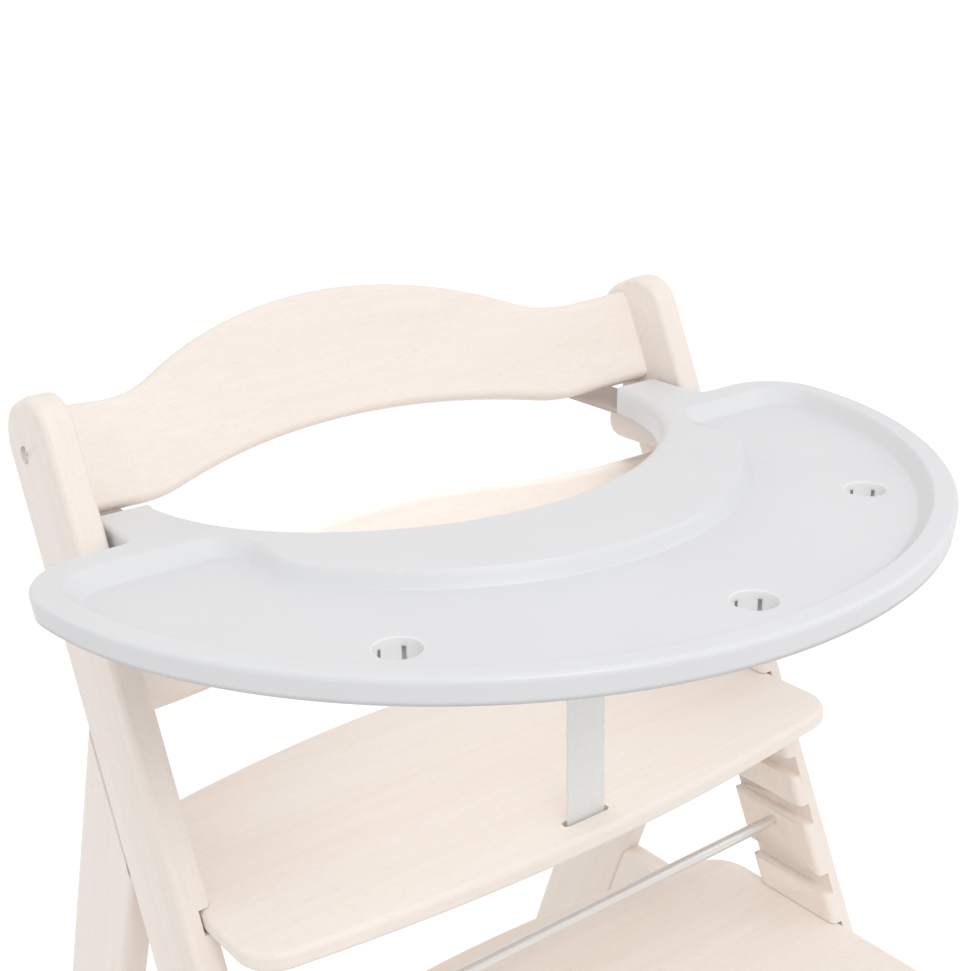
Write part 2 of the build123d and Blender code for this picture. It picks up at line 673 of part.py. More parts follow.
# Saddle clips that straddle the front bar, screwed up into the bosses
saddle_width = bar_thickness + 2 * clip_play
clip_bottom = bar_top - clip_grip
clip_x = (-clip_length / 2, clip_length / 2)
clip_y = (-saddle_width / 2 - clip_wall, saddle_width / 2 + clip_wall)
clip = block(clip_x, clip_y, (clip_bottom, clip_top))
clip = fillet(clip.edges().filter_by(Axis.Z), clip_wall / 2)
clip -= block((-reach, reach), (-saddle_width / 2, saddle_width / 2), (0, bar_top + clip_seat_gap))
screw_top = clip_top + clip_screw_bite
head_seat = bar_top + clip_seat_gap + 2 * hole_clearance + clip_screw_head_length
clip_screw = rod_z(clip_screw_head / 2, head_seat - clip_screw_head_length, head_seat)
clip_screw += rod_z(clip_screw_diameter / 2, head_seat, screw_top)
clip_hole = rod_z(clip_screw_head / 2 + hole_clearance, bar_top, head_seat)
clip_hole += rod_z(clip_screw_diameter / 2 + hole_clearance, head_seat, clip_top + 1)
pilot_hole = rod_z(clip_screw_diameter / 2 + fit_clearance, clip_top - 1, screw_top + 1)
clip_screws = []
for x in (-clip_screw_spacing / 2, clip_screw_spacing / 2):
    clip -= Pos(x, 0, 0) * clip_hole
    for place in clip_places:
        tray -= place * Pos(x, 0, 0) * pilot_hole
        clip_screws.append(place * Pos(x, 0, 0) * clip_screw)
put("left_tray_clip", clip_places[0] * clip)
put("right_tray_clip", clip_places[1] * clip)
put("tray_clip_screws", clip_screws)
put("tray", tray)
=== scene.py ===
# %% [markdown]
# # A wooden high chair with a clip-on play tray
# The chair is two leaning side frames of pale, whitewashed beech. A seat and a footrest sit in grooves,
# two wavy backrests are bent round the child, and a moulded white tray clips onto a bentwood bar.
# The exact solids are already built, so this lesson loads them as a frame, softens how they shade,
# remakes the two pieces that need more than a solid, and gives every surface its finish.

# %% Load the solids as the frame
import json
import math

import bmesh
import bpy
import numpy as np
from mathutils import Matrix, Vector
from mathutils.geometry import delaunay_2d_cdt


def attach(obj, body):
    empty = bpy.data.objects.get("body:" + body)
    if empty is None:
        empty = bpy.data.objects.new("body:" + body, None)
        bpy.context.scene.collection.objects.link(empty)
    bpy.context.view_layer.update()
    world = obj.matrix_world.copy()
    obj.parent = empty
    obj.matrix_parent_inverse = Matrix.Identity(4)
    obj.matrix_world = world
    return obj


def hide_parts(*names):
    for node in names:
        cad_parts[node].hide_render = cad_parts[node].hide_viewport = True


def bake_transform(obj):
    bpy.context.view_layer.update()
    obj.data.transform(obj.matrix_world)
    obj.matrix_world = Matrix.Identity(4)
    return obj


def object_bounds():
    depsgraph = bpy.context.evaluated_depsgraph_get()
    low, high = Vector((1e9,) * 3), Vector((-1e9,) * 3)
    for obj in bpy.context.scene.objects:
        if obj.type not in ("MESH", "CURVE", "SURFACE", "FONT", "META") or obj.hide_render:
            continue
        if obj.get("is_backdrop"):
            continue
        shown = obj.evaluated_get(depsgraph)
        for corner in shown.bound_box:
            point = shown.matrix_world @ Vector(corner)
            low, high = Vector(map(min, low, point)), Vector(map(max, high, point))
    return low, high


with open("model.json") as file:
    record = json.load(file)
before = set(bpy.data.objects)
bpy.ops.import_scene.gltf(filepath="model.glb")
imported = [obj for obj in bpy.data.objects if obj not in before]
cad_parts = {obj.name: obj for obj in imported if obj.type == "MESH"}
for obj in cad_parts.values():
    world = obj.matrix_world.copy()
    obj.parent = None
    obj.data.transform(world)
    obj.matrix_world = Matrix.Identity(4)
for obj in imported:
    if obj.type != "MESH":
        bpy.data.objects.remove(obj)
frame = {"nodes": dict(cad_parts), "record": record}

nodes = frame["nodes"]
scene = bpy.context.scene
cad_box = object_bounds()
node_body = {n: body for body, names in frame["record"]["behaviour"]["bodies"].items() for n in names}
print("nodes", len(nodes), "box", [tuple(round(v, 4) for v in corner) for corner in cad_box])

# %% [markdown]
# ## Camera
# The photo looks down on the tray from the child's right-hand front corner, from quite close by.
# A camera has a place, three directions and a focal length. The directions are worked out from a heading,
# a downward pitch and a slight roll, and become the columns of the camera's matrix.

# %% Place the camera
def placed(name, data):
    """A new object that holds some data, linked to the scene."""
    thing = bpy.data.objects.new(name, data)
    scene.collection.objects.link(thing)
    return thing


heading = math.radians(37.22)
pitch = math.radians(19.82)
roll = math.radians(-1.146)
forward = Vector((math.sin(heading) * math.cos(pitch), math.cos(heading) * math.cos(pitch), -math.sin(pitch)))
level_right = Vector((math.cos(heading), -math.sin(heading), 0.0))
level_up = level_right.cross(forward)
right = level_right * math.cos(roll) + level_up * math.sin(roll)
up = level_up * math.cos(roll) - level_right * math.sin(roll)
camera_data = bpy.data.cameras.new("camera")
camera_data.sensor_fit = "HORIZONTAL"
camera_data.sensor_width = 36.0
camera_data.lens = 57.8
camera = placed("camera", camera_data)
camera.matrix_world = Matrix((right, up, -forward)).transposed().to_4x4()
camera.location = (-0.5186, -0.6913, 1.0322)
scene.camera = camera
print("camera", tuple(round(v, 3) for v in camera.location))

# %% [markdown]
# ## Floor, backdrop and light
# The photo's ground is plain white. A floor that glows white for the camera and in reflections keeps its
# shadow if part of what is seen is still lit by the lamps, so its material mixes a little diffuse light into
# the white.

# %% Build the floor
def new_material(name):
    """An empty node material, its tree and its output node."""
    material = bpy.data.materials.new(name)
    material.use_nodes = True
    tree = material.node_tree
    tree.nodes.clear()
    output = tree.nodes.new("ShaderNodeOutputMaterial")
    return material, tree, output


def calc(tree, operation, first, second=0.0):
    """A sum, product or other operation on one or two values or sockets."""
    node = tree.nodes.new("ShaderNodeMath")
    node.operation = operation
    for socket, value in zip(node.inputs, (first, second)):
        if isinstance(value, (int, float)):
            socket.default_value = value
        else:
            tree.links.new(value, socket)
    return node.outputs[0]


floor_grey, floor_glow, glow_share = 0.82, 1.16, 0.82
floor_white, tree, output = new_material("floor_white")
matt = tree.nodes.new("ShaderNodeBsdfDiffuse")
matt.inputs["Color"].default_value = (floor_grey, floor_grey, floor_grey, 1)
glow = tree.nodes.new("ShaderNodeEmission")
glow.inputs["Strength"].default_value = floor_glow
ray = tree.nodes.new("ShaderNodeLightPath").outputs
seen = calc(tree, "MAXIMUM", ray["Is Camera Ray"], ray["Is Glossy Ray"])
mix = tree.nodes.new("ShaderNodeMixShader")
tree.links.new(calc(tree, "MULTIPLY", seen, glow_share), mix.inputs["Fac"])
tree.links.new(matt.outputs[0], mix.inputs[1])
tree.links.new(glow.outputs[0], mix.inputs[2])
tree.links.new(mix.outputs[0], output.inputs["Surface"])

reach = 40.0
floor_corners = [(-reach, -reach, 0), (reach, -reach, 0), (reach, reach, 0), (-reach, reach, 0)]
floor_mesh = bpy.data.meshes.new("floor")
floor_mesh.from_pydata(floor_corners, [], [(0, 1, 2, 3)])
floor_mesh.materials.append(floor_white)
floor = placed("floor", floor_mesh)
floor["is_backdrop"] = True
print("floor", round(2 * reach), "m wide")

# %% [markdown]
# The photo has hardly any shadows, so an even sky gives most of the light. A Map Range node makes it plain
# white where the camera sees it, and a little weaker where it lights the chair.

# %% Light the sky
sky_light, sky_seen = 0.83, 1.0
world = bpy.data.worlds.new("studio")
world.use_nodes = True
scene.world = world
sky = world.node_tree
background = sky.nodes["Background"]
background.inputs["Color"].default_value = (1, 1, 1, 1)
ray = sky.nodes.new("ShaderNodeLightPath").outputs
seen = calc(sky, "MAXIMUM", ray["Is Camera Ray"], ray["Is Transmission Ray"])
level = sky.nodes.new("ShaderNodeMapRange")
level.inputs["To Min"].default_value = sky_light
level.inputs["To Max"].default_value = sky_seen
sky.links.new(seen, level.inputs["Value"])
sky.links.new(level.outputs["Result"], background.inputs["Strength"])
print("sky lights at", sky_light)

# %% [markdown]
# Lamps add what an even sky lacks. One high in front brightens the slopes of the tray that face it, one on
# each side fills the frames, and a weak one hidden below the tray takes its shadow off the seat.


# %% Hang the lamps
def soft_lamp(name, place, target, size, watts):
    """A square area lamp that looks at a target."""
    data = bpy.data.lights.new(name, "AREA")
    data.size = size
    data.energy = watts
    lamp = placed(name, data)
    lamp.location = place
    lamp.rotation_euler = (Vector(target) - Vector(place)).to_track_quat("-Z", "Y").to_euler()
    lamp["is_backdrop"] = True
    return lamp


soft_lamp("key_lamp", (-0.4, -1.7, 2.3), (0, 0, 0.6), size=1.0, watts=14)
soft_lamp("right_fill_lamp", (2.1, -0.9, 1.7), (0, 0, 0.55), size=1.2, watts=4)
soft_lamp("left_fill_lamp", (-1.6, 1.6, 1.3), (0, 0, 0.55), size=1.2, watts=3.5)
seat_lamp = soft_lamp("seat_fill_lamp", (0, -0.03, 0.683), (0, -0.03, 0.54), size=0.36, watts=0.11)
seat_lamp.data.spread = math.radians(120)
seat_lamp.visible_camera = False
scene.view_settings.view_transform = "Standard"
print("four lamps,", seat_lamp.name, "is hidden")

# %% [markdown]
# ## Beech
# The boards are beech under a thin white stain: a pale, slightly pink wood with fine streaks along the grain
# and short darker flecks. The figure is the same on every board, only its direction changes, so it is one
# shader group that reads a vector whose X runs along the grain. Each material turns the object's
# coordinates into that vector with its own Mapping node. Every figure in this lesson is such a group, which
# gives a colour, a roughness and a height.

# %% Make the beech group
def add_sockets(tree, way, kind, labels):
    """Named sockets of one kind on a group of nodes. Gives the key of each."""
    added = [tree.interface.new_socket(name=label, in_out=way, socket_type=kind) for label in labels]
    return {socket.name: socket.identifier for socket in added}


def figure_group(name, colours, values=()):
    """A shader group that turns a vector, colours and values into a colour, a roughness and a height."""
    group = bpy.data.node_groups.new(name, "ShaderNodeTree")
    add_sockets(group, "INPUT", "NodeSocketVector", ["Vector"])
    add_sockets(group, "INPUT", "NodeSocketColor", colours)
    add_sockets(group, "INPUT", "NodeSocketFloat", values)
    add_sockets(group, "OUTPUT", "NodeSocketColor", ["Color"])
    add_sockets(group, "OUTPUT", "NodeSocketFloat", ["Roughness", "Height"])
    return group, group.nodes.new("NodeGroupInput"), group.nodes.new("NodeGroupOutput")


def stretched(group, vector, factors):
    """The vector multiplied by three factors."""
    scale = group.nodes.new("ShaderNodeVectorMath")
    scale.operation = "MULTIPLY"
    scale.inputs[1].default_value = factors
    group.links.new(vector, scale.inputs[0])
    return scale.outputs[0]


def noise(group, vector, detail, roughness, distortion=0.0):
    """A noise value on a vector that already carries its scale."""
    texture = group.nodes.new("ShaderNodeTexNoise")
    texture.inputs["Scale"].default_value = 1.0
    texture.inputs["Detail"].default_value = detail
    texture.inputs["Roughness"].default_value = roughness
    texture.inputs["Distortion"].default_value = distortion
    group.links.new(vector, texture.inputs["Vector"])
    return texture.outputs[0]


def remap(group, value, low, high, to_low=0.0, to_high=1.0):
    """A value stretched from one range to another, and held inside it."""
    node = group.nodes.new("ShaderNodeMapRange")
    node.inputs["From Min"].default_value = low
    node.inputs["From Max"].default_value = high
    node.inputs["To Min"].default_value = to_low
    node.inputs["To Max"].default_value = to_high
    group.links.new(value, node.inputs["Value"])
    return node.outputs["Result"]


def blend_colours(group, factor, first, second):
    """Two colour sockets mixed by a factor."""
    node = group.nodes.new("ShaderNodeMix")
    node.data_type = "RGBA"
    group.links.new(factor, node.inputs["Factor"])
    group.links.new(first, node.inputs["A"])
    group.links.new(second, node.inputs["B"])
    return node.outputs["Result"]


broad_scale, fine_scale, fleck_scale = (1.6, 16, 16), (7, 210, 210), (85, 620, 620)
broad_weight, fine_weight, fleck_weight = 0.55, 0.45, 0.32
streak_rise, fleck_pit = 0.4, 0.6
beech, source, sink = figure_group("beech_figure", ("Pale", "Streak", "Fleck"))
vector = source.outputs["Vector"]
broad = noise(beech, stretched(beech, vector, broad_scale), detail=3, roughness=0.55, distortion=0.6)
fine = noise(beech, stretched(beech, vector, fine_scale), detail=4, roughness=0.6)
broad_part = calc(beech, "MULTIPLY", remap(beech, broad, 0.35, 0.7), broad_weight)
fine_part = calc(beech, "MULTIPLY", remap(beech, fine, 0.35, 0.75), fine_weight)
streak = calc(beech, "ADD", broad_part, fine_part)
cells = beech.nodes.new("ShaderNodeTexVoronoi")
cells.inputs["Scale"].default_value = 1.0
beech.links.new(stretched(beech, vector, fleck_scale), cells.inputs["Vector"])
fleck = remap(beech, cells.outputs["Distance"], 0.10, 0.24, 1.0, 0.0)
colour = blend_colours(beech, streak, source.outputs["Pale"], source.outputs["Streak"])
colour = blend_colours(beech, calc(beech, "MULTIPLY", fleck, fleck_weight), colour, source.outputs["Fleck"])
beech.links.new(colour, sink.inputs["Color"])
beech.links.new(remap(beech, streak, 0, 1, 0.40, 0.55), sink.inputs["Roughness"])
raised = calc(beech, "MULTIPLY", streak, streak_rise)
pitted = calc(beech, "MULTIPLY", fleck, fleck_pit)
beech.links.new(calc(beech, "SUBTRACT", raised, pitted), sink.inputs["Height"])
print("group", beech.name, len(beech.nodes), "nodes")

# %% [markdown]
# The boards differ only in the direction of their grain, and the hidden dowels have no stain. One function
# wires a figure's colour, roughness and height to a surface, for these and all later finishes, and another
# sets the Mapping node before it. A thin coat stands for the satin lacquer.


# %% Make one beech for each direction of the grain
def figured_material(name, group, values, relief, relief_depth):
    """A material with a group's figure on it. Its caller links the group's Vector."""
    material, tree, output = new_material(name)
    shader = tree.nodes.new("ShaderNodeBsdfPrincipled")
    figure = tree.nodes.new("ShaderNodeGroup")
    figure.node_tree = group
    for label, value in values.items():
        figure.inputs[label].default_value = value
    bump = tree.nodes.new("ShaderNodeBump")
    bump.inputs["Strength"].default_value = relief
    bump.inputs["Distance"].default_value = relief_depth
    tree.links.new(figure.outputs["Color"], shader.inputs["Base Color"])
    tree.links.new(figure.outputs["Roughness"], shader.inputs["Roughness"])
    tree.links.new(figure.outputs["Height"], bump.inputs["Height"])
    tree.links.new(bump.outputs["Normal"], shader.inputs["Normal"])
    tree.links.new(shader.outputs[0], output.inputs["Surface"])
    return material, tree, shader, figure


def mapped(tree, figure):
    """A Mapping node between the object's coordinates and a figure's vector."""
    place = tree.nodes.new("ShaderNodeTexCoord")
    mapping = tree.nodes.new("ShaderNodeMapping")
    tree.links.new(place.outputs["Object"], mapping.inputs["Vector"])
    tree.links.new(mapping.outputs["Vector"], figure.inputs["Vector"])
    return mapping


def beech_material(name, grain, side, tones):
    """Beech whose grain runs along one direction and whose annual rings cross another."""
    material, tree, shader, figure = figured_material(name, beech, tones, relief=0.12, relief_depth=0.0004)
    along = Vector(grain).normalized()
    across = (Vector(side) - along * along.dot(Vector(side))).normalized()
    turn = Matrix((along, across, along.cross(across))).to_euler()
    mapped(tree, figure).inputs["Rotation"].default_value = turn
    shader.inputs["Coat Weight"].default_value = 0.12
    shader.inputs["Coat Roughness"].default_value = 0.3
    return material


stained = {
    "Pale": (0.92, 0.845, 0.785, 1),
    "Streak": (0.87, 0.775, 0.70, 1),
    "Fleck": (0.72, 0.58, 0.47, 1),
}
raw = {
    "Pale": (0.78, 0.62, 0.44, 1),
    "Streak": (0.66, 0.48, 0.31, 1),
    "Fleck": (0.45, 0.30, 0.18, 1),
}
upright_lean = math.radians(24.56)
rear_leg_lean = math.radians(20.4)
upright_grain = (0, math.sin(upright_lean), math.cos(upright_lean))
rear_leg_grain = (0, -math.sin(rear_leg_lean), math.cos(rear_leg_lean))
beech_upright = beech_material("beech_upright", upright_grain, (1, 0.3, 0), stained)
beech_leg = beech_material("beech_leg", rear_leg_grain, (1, 0.3, 0), stained)
beech_rail = beech_material("beech_rail", (0, 1, 0), (1, 0, 0.3), stained)
beech_level = beech_material("beech_level", (1, 0, 0), (0, 0.3, 1), stained)
beech_dowel = beech_material("beech_dowel", (1, 0, 0), (0, 1, 0), raw)
print("four stained beeches and a raw one")

# %% [markdown]
# ## Plastic, steel, rubber
# The tray is white moulded plastic with a satin surface: a fine, even grain from the mould and long, very
# soft waves. Its cups are painted lighter than the rest, a painted light inside them, and the tongues behind
# its arms are painted a warm brown-grey, a painted shade under the backrest with a painted warm reflection of
# the beech. The rods and screws are zinc-plated steel with brushed scratches, the glides grey rubber. All of
# them are one idea, a speckled surface with its own grain, so they share one group.

# %% Make the moulded and metal finishes
cloud_scale, cloud_rise, cloud_rough = (0.015, 0.015, 0.015), 3.0, 0.05
surface, source, sink = figure_group("fine_surface", ("Base", "Tint"), ("Rough",))
vector = source.outputs["Vector"]
grain = noise(surface, vector, detail=2, roughness=0.5)
cloud = noise(surface, stretched(surface, vector, cloud_scale), detail=3, roughness=0.5)
mask = remap(surface, cloud, 0.3, 0.7)
colour = blend_colours(surface, mask, source.outputs["Base"], source.outputs["Tint"])
surface.links.new(colour, sink.inputs["Color"])
uneven = remap(surface, cloud, 0.3, 0.7, -cloud_rough, cloud_rough)
surface.links.new(calc(surface, "ADD", source.outputs["Rough"], uneven), sink.inputs["Roughness"])
waves = calc(surface, "MULTIPLY", cloud, cloud_rise)
surface.links.new(calc(surface, "ADD", grain, waves), sink.inputs["Height"])


def fine_material(name, base, tint, rough, grain, relief, metallic=0.0):
    """A finish with a fine grain: how many grains to a metre along each axis, and how strong they are."""
    values = {"Base": (*base, 1), "Tint": (*tint, 1), "Rough": rough}
    material, tree, shader, figure = figured_material(name, surface, values, relief, relief_depth=0.0003)
    mapped(tree, figure).inputs["Scale"].default_value = grain
    shader.inputs["Metallic"].default_value = metallic
    return material


mould_grain, mould_relief = (900, 900, 900), 0.05
white_plastic = fine_material(
    "white_plastic", (0.75, 0.754, 0.765), (0.735, 0.739, 0.752), 0.34, mould_grain, mould_relief
)
# The cups' plastic is painted lighter than the tray's: painted light inside the cups, where they would lie in
# shade.
painted_light_cup_plastic = fine_material(
    "painted_light_cup_plastic", (0.87, 0.872, 0.88), (0.86, 0.862, 0.87), 0.34, mould_grain, mould_relief
)
# The tongues' plastic is painted a dark warm brown-grey: painted shade under the backrest, with a painted
# warm reflection of the beech.
painted_shade_plastic = fine_material(
    "painted_shade_plastic", (0.55, 0.46, 0.42), (0.53, 0.44, 0.40), 0.45, mould_grain, mould_relief
)
zinc_steel = fine_material(
    "zinc_steel", (0.88, 0.87, 0.86), (0.78, 0.775, 0.765), 0.36, (120, 1900, 1900), 0.15, metallic=0.85
)
grey_rubber = fine_material(
    "grey_rubber", (0.30, 0.295, 0.285), (0.25, 0.245, 0.24), 0.75, (700, 700, 700), 0.3
)
print("three plastics,", zinc_steel.name, "and", grey_rubber.name)

# %% [markdown]
# ## Boards, rods and screws
# A solid comes in as loose triangles, each with its own flat shade, so rounded edges look cut. A welded copy
# with smooth shading, sharp only where two faces really meet at an angle, shows them round. The Weighted
# Normal modifier lets the large flat faces win, so a board stays flat right up to its rounded edge.

# %% Stand a welded copy in for each solid
weld_distance = 2e-6
board_crease = math.radians(32)


def welded(node, material):
    """A smooth-shaded copy of a CAD node, on the same body and in its place."""
    mesh = nodes[node].data.copy()
    form = bmesh.new()
    form.from_mesh(mesh)
    bmesh.ops.remove_doubles(form, verts=form.verts, dist=weld_distance)
    form.to_mesh(mesh)
    form.free()
    mesh.materials.clear()
    mesh.materials.append(material)
    mesh.shade_smooth()
    mesh.set_sharp_from_angle(angle=board_crease)
    piece = placed(node + "_finish", mesh)
    weight = piece.modifiers.new("flat faces win", "WEIGHTED_NORMAL")
    weight.keep_sharp = True
    weight.weight = 80
    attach(piece, node_body[node])
    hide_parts(node)
    return piece


finish_of = {
    "upright": beech_upright,
    "rear_leg": beech_leg,
    "side_rail": beech_rail,
    "dowels": beech_dowel,
    "clip": white_plastic,
    "screws": zinc_steel,
    "bolts": zinc_steel,
    "nuts": zinc_steel,
    "tie_rod": zinc_steel,
    "anchor": zinc_steel,
    "glides": grey_rubber,
}
own_forms = {"tray", "crotch_strap"}
for node in sorted(set(nodes) - own_forms):
    ending = next((key for key in finish_of if node.endswith(key)), None)
    welded(node, finish_of.get(ending, beech_level))
print("welded", len(nodes) - len(own_forms), "solids")

# %% [markdown]
# ## The tray's outlines
# The tray follows a rule: seen from above it has an outer line, a line round its sunk surface and three
# holes, and its height depends only on how far a point is from those lines. So the lines come first, in
# millimetres. They are arcs that meet smoothly, drawn for the right half and mirrored.

# %% Set the tray's sizes and the ways to draw a line
MM = 0.001
least_gap = 0.05
tray_floor, tray_rim = 723.0, 732.5
tray_bottom, edge_bottom = 713.0, 718.5
tray_centre = -5.0
tray_half_width, tray_half_depth, tightening = 278.0, 265.5, 26.0
side_radius = tray_half_depth - tightening
side_offset = tray_half_width - side_radius
# The front arc and the two side arcs meet smoothly, which sets how far back the front arc's centre lies.
front_offset = (side_offset**2 + tray_half_depth**2 - side_radius**2) / (2 * tightening) - tray_half_depth
front_radius = tray_half_depth + front_offset
front_turn = math.degrees(math.atan2(front_offset, side_offset))
wing_rear, wing_corner = 24.0, 40.0
belly_centre, belly_radius, belly_turn = 123.3, 193.0, 44.0
arm_inner, arm_outer, arm_rear, arm_corner = 174.0, 209.0, 71.0, 5.0
arm_fillet = 6.0
# The round inner tip of the arm takes the place of the flare's first points.
tip_round, tip_inset, tip_turn, flare_skip = 4.0, 3.6, 172.0, 3
socket_radius, socket_depth = 12.0, 18.0
sockets = [(0.0, -222.0), (163.0, -155.0), (-163.0, -155.0)]


def arc(centre, radius, start, end, step=2.5):
    """Points along an arc, angles in degrees."""
    count = max(3, int(abs(math.radians(end - start)) * radius / step))
    angles = np.radians(np.linspace(start, end, count + 1))
    return np.stack([centre[0] + radius * np.cos(angles), centre[1] + radius * np.sin(angles)], 1)


def straight(first, second, step=3.0):
    """Points along a straight line."""
    first, second = np.array(first, float), np.array(second, float)
    count = max(1, int(np.linalg.norm(second - first) / step))
    return first + (second - first) * np.linspace(0, 1, count + 1)[:, None]


def whole(parts):
    """A closed line from the right half's parts, drawn from the front to the rear, and their mirror image."""
    half = np.concatenate(parts)
    line = np.concatenate([half, (half * (-1, 1))[::-1]])
    keep = np.linalg.norm(line - np.roll(line, 1, axis=0), axis=1) > least_gap
    return line[keep]


def oval_parts(inset, rear, corner):
    """The front arc, side arc and rear corner of the tray's oval, drawn inset inside its edge."""
    inner = side_radius - inset
    corner_y = rear - corner
    corner_x = side_offset + math.sqrt((inner - corner) ** 2 - (corner_y - tray_centre) ** 2)
    corner_start = math.degrees(math.atan2(corner_y - tray_centre, corner_x - side_offset))
    front = arc((0, tray_centre + front_offset), front_radius - inset, -90, -front_turn)
    side = arc((side_offset, tray_centre), inner, -front_turn, corner_start)
    back = arc((corner_x, corner_y), corner, corner_start, 90)
    return [front, side, back]


print("tray", 2 * tray_half_width, "mm wide,", len(sockets), "sockets")

# %% [markdown]
# The outer line runs from the front round the oval to the end of the wing and out along the arm. From the
# arm's tip a flare leads back to the arc round the child's belly. It has to leave that arc smoothly and pass
# through the arm's inner corner, and only one circle does both.

# %% Draw the outer line
belly_side = belly_radius * math.sin(math.radians(belly_turn))
belly_end = belly_centre - belly_radius * math.cos(math.radians(belly_turn))
chord = np.array([arm_inner - belly_side, arm_rear - belly_end])
normal = np.array([-math.sin(math.radians(belly_turn)), math.cos(math.radians(belly_turn))])
flare_radius = chord @ chord / (2 * chord @ normal)
flare_centre = np.array([belly_side, belly_end]) + normal * flare_radius
flare_end = math.degrees(math.atan2(*(np.array([arm_inner, arm_rear]) - flare_centre)[::-1]))
oval_edge = oval_parts(0, wing_rear, wing_corner)
outer_line = whole(
    oval_edge
    + [
        straight(oval_edge[-1][-1], (arm_outer + arm_fillet, wing_rear)),
        arc((arm_outer + arm_fillet, wing_rear + arm_fillet), arm_fillet, -90, -180, step=1.0),
        straight((arm_outer, wing_rear + arm_fillet), (arm_outer, arm_rear - arm_corner)),
        arc((arm_outer - arm_corner, arm_rear - arm_corner), arm_corner, 0, 90, step=1.0),
        straight((arm_outer - arm_corner, arm_rear), (arm_inner + tip_round, arm_rear)),
        arc((arm_inner + tip_inset, arm_rear - tip_round), tip_round, 90, tip_turn, step=1.0),
        arc(flare_centre, flare_radius, flare_end, belly_turn - 90)[flare_skip:],
        arc((0, belly_centre), belly_radius, belly_turn - 90, -90),
    ]
)
print("outer line", len(outer_line), "points")

# %% [markdown]
# Inside its rim the sunk surface has the oval's form, and on the child's side it ends at a raised band. Its
# sides slope, each at its own width, so one function draws its line at any share of the way up.

# %% Draw the line round the sunk surface
band_centre, band_radius, band_side, band_round = 43.0, 192.0, 164.0, 36.0
round_x = band_side - band_round
round_y = band_centre - math.sqrt((band_radius - band_round) ** 2 - round_x**2)
round_start = math.degrees(math.atan2(round_y - band_centre, round_x))
pocket_rear, pocket_corner, rim_width = -4.5, 20.0, 13.5
side_slope, rear_slope, band_slope = 7.0, 9.0, 4.5


def pocket_line(rise):
    """The line round the sunk surface at a share of its rise: 0 at its floor, 1 at its mouth."""
    inset = band_slope * rise
    rear = pocket_rear + rear_slope * rise
    corner = pocket_corner + inset
    band_x = band_side - inset
    parts = oval_parts(rim_width + side_slope * (1 - rise), rear, corner)
    parts += [
        straight(parts[-1][-1], (band_x + corner, rear)),
        arc((band_x + corner, rear - corner), corner, 90, 180, step=2.0),
        straight((band_x, rear - corner), (band_x, round_y)),
        arc((round_x, round_y), band_round - inset, 0, round_start, step=2.0),
        arc((0, band_centre), band_radius - inset, round_start, -90),
    ]
    return whole(parts)


floor_line = pocket_line(0)
mouth_line = pocket_line(1)
print("pocket points", len(floor_line), "at its floor,", len(mouth_line), "at its mouth")

# %% [markdown]
# ## The tray's skin
# A flat net of triangles is laid inside the outer line, with rings of points close to every edge where the
# height changes. Each point is then lifted: down in a quarter circle at the rim, down a soft slope into the
# sunk surface. Walls and slotted cups hang from the net's edges, and Solidify gives the skin its thickness
# on the inside, which leaves the underside hollow as on the moulding.

# %% Measure distances and set out the net's points
def line_distance(points, line):
    """Distance from points to a closed line, negative inside it."""
    start, step = line, np.roll(line, -1, axis=0) - line
    nearest = np.full(len(points), np.inf)
    crossings = np.zeros(len(points), int)
    for a, d in zip(start, step):
        offset = points - a
        t = np.clip(offset @ d / (d @ d), 0, 1)
        nearest = np.minimum(nearest, np.linalg.norm(offset - t[:, None] * d, axis=1))
        above = (a[1] > points[:, 1]) != (a[1] + d[1] > points[:, 1])
        with np.errstate(divide="ignore", invalid="ignore"):
            crossing_x = a[0] + (points[:, 1] - a[1]) / d[1] * d[0]
        crossings += above & (points[:, 0] < crossing_x)
    return np.where(crossings % 2 == 1, -nearest, nearest)


def ring(line, offset):
    """A closed line moved outwards, or inwards where the offset is negative."""
    tangent = np.roll(line, -1, axis=0) - np.roll(line, 1, axis=0)
    tangent /= np.linalg.norm(tangent, axis=1)[:, None]
    area = np.sum(line[:, 0] * np.roll(line[:, 1], -1) - line[:, 1] * np.roll(line[:, 0], -1))
    outward = np.stack([tangent[:, 1], -tangent[:, 0]], 1) * np.sign(area)
    return line + outward * offset


rim_round, belly_round = 3.0, 7.0
rim_depths = (0.2, 0.5, 1.0, 1.7, 2.4, rim_round, 4.2, 5.6, belly_round)
slope_rises = (-0.2, -0.1, 0, 0.1, 0.2, 0.4, 0.6, 0.8, 0.9, 1.0, 1.1, 1.2)
net_side, net_front, net_rear, net_step = 280.0, -272.0, 72.0, 7.0
round_margin, edge_margin, socket_margin = 2.5, 0.15, 1.8
columns = np.arange(-net_side, net_side + 1, net_step)
fill_x, fill_y = np.meshgrid(columns, np.arange(net_front, net_rear, net_step))
fill_x[1::2] += net_step / 2
fill = np.stack([fill_x.ravel(), fill_y.ravel()], 1)
fill = fill[line_distance(fill, outer_line) < -belly_round - round_margin]
past_floor = line_distance(fill, floor_line) > -net_step / 2
before_mouth = line_distance(fill, mouth_line) < net_step / 2
fill = fill[~(past_floor & before_mouth)]
rings = [ring(outer_line, -depth) for depth in rim_depths]
rings += [pocket_line(rise) for rise in slope_rises]
inner_points = np.concatenate([fill] + rings)
clear = line_distance(inner_points, outer_line) < -edge_margin
for x, y in sockets:
    clear &= np.hypot(inner_points[:, 0] - x, inner_points[:, 1] - y) > socket_radius + socket_margin
inner_points = inner_points[clear]
print("net points", len(inner_points))

# %% [markdown]
# A constrained Delaunay triangulation joins all those points into one net and keeps the outer line and the
# holes' rims as edges. It also fills the hollow beside the arms and the holes, so those triangles go.

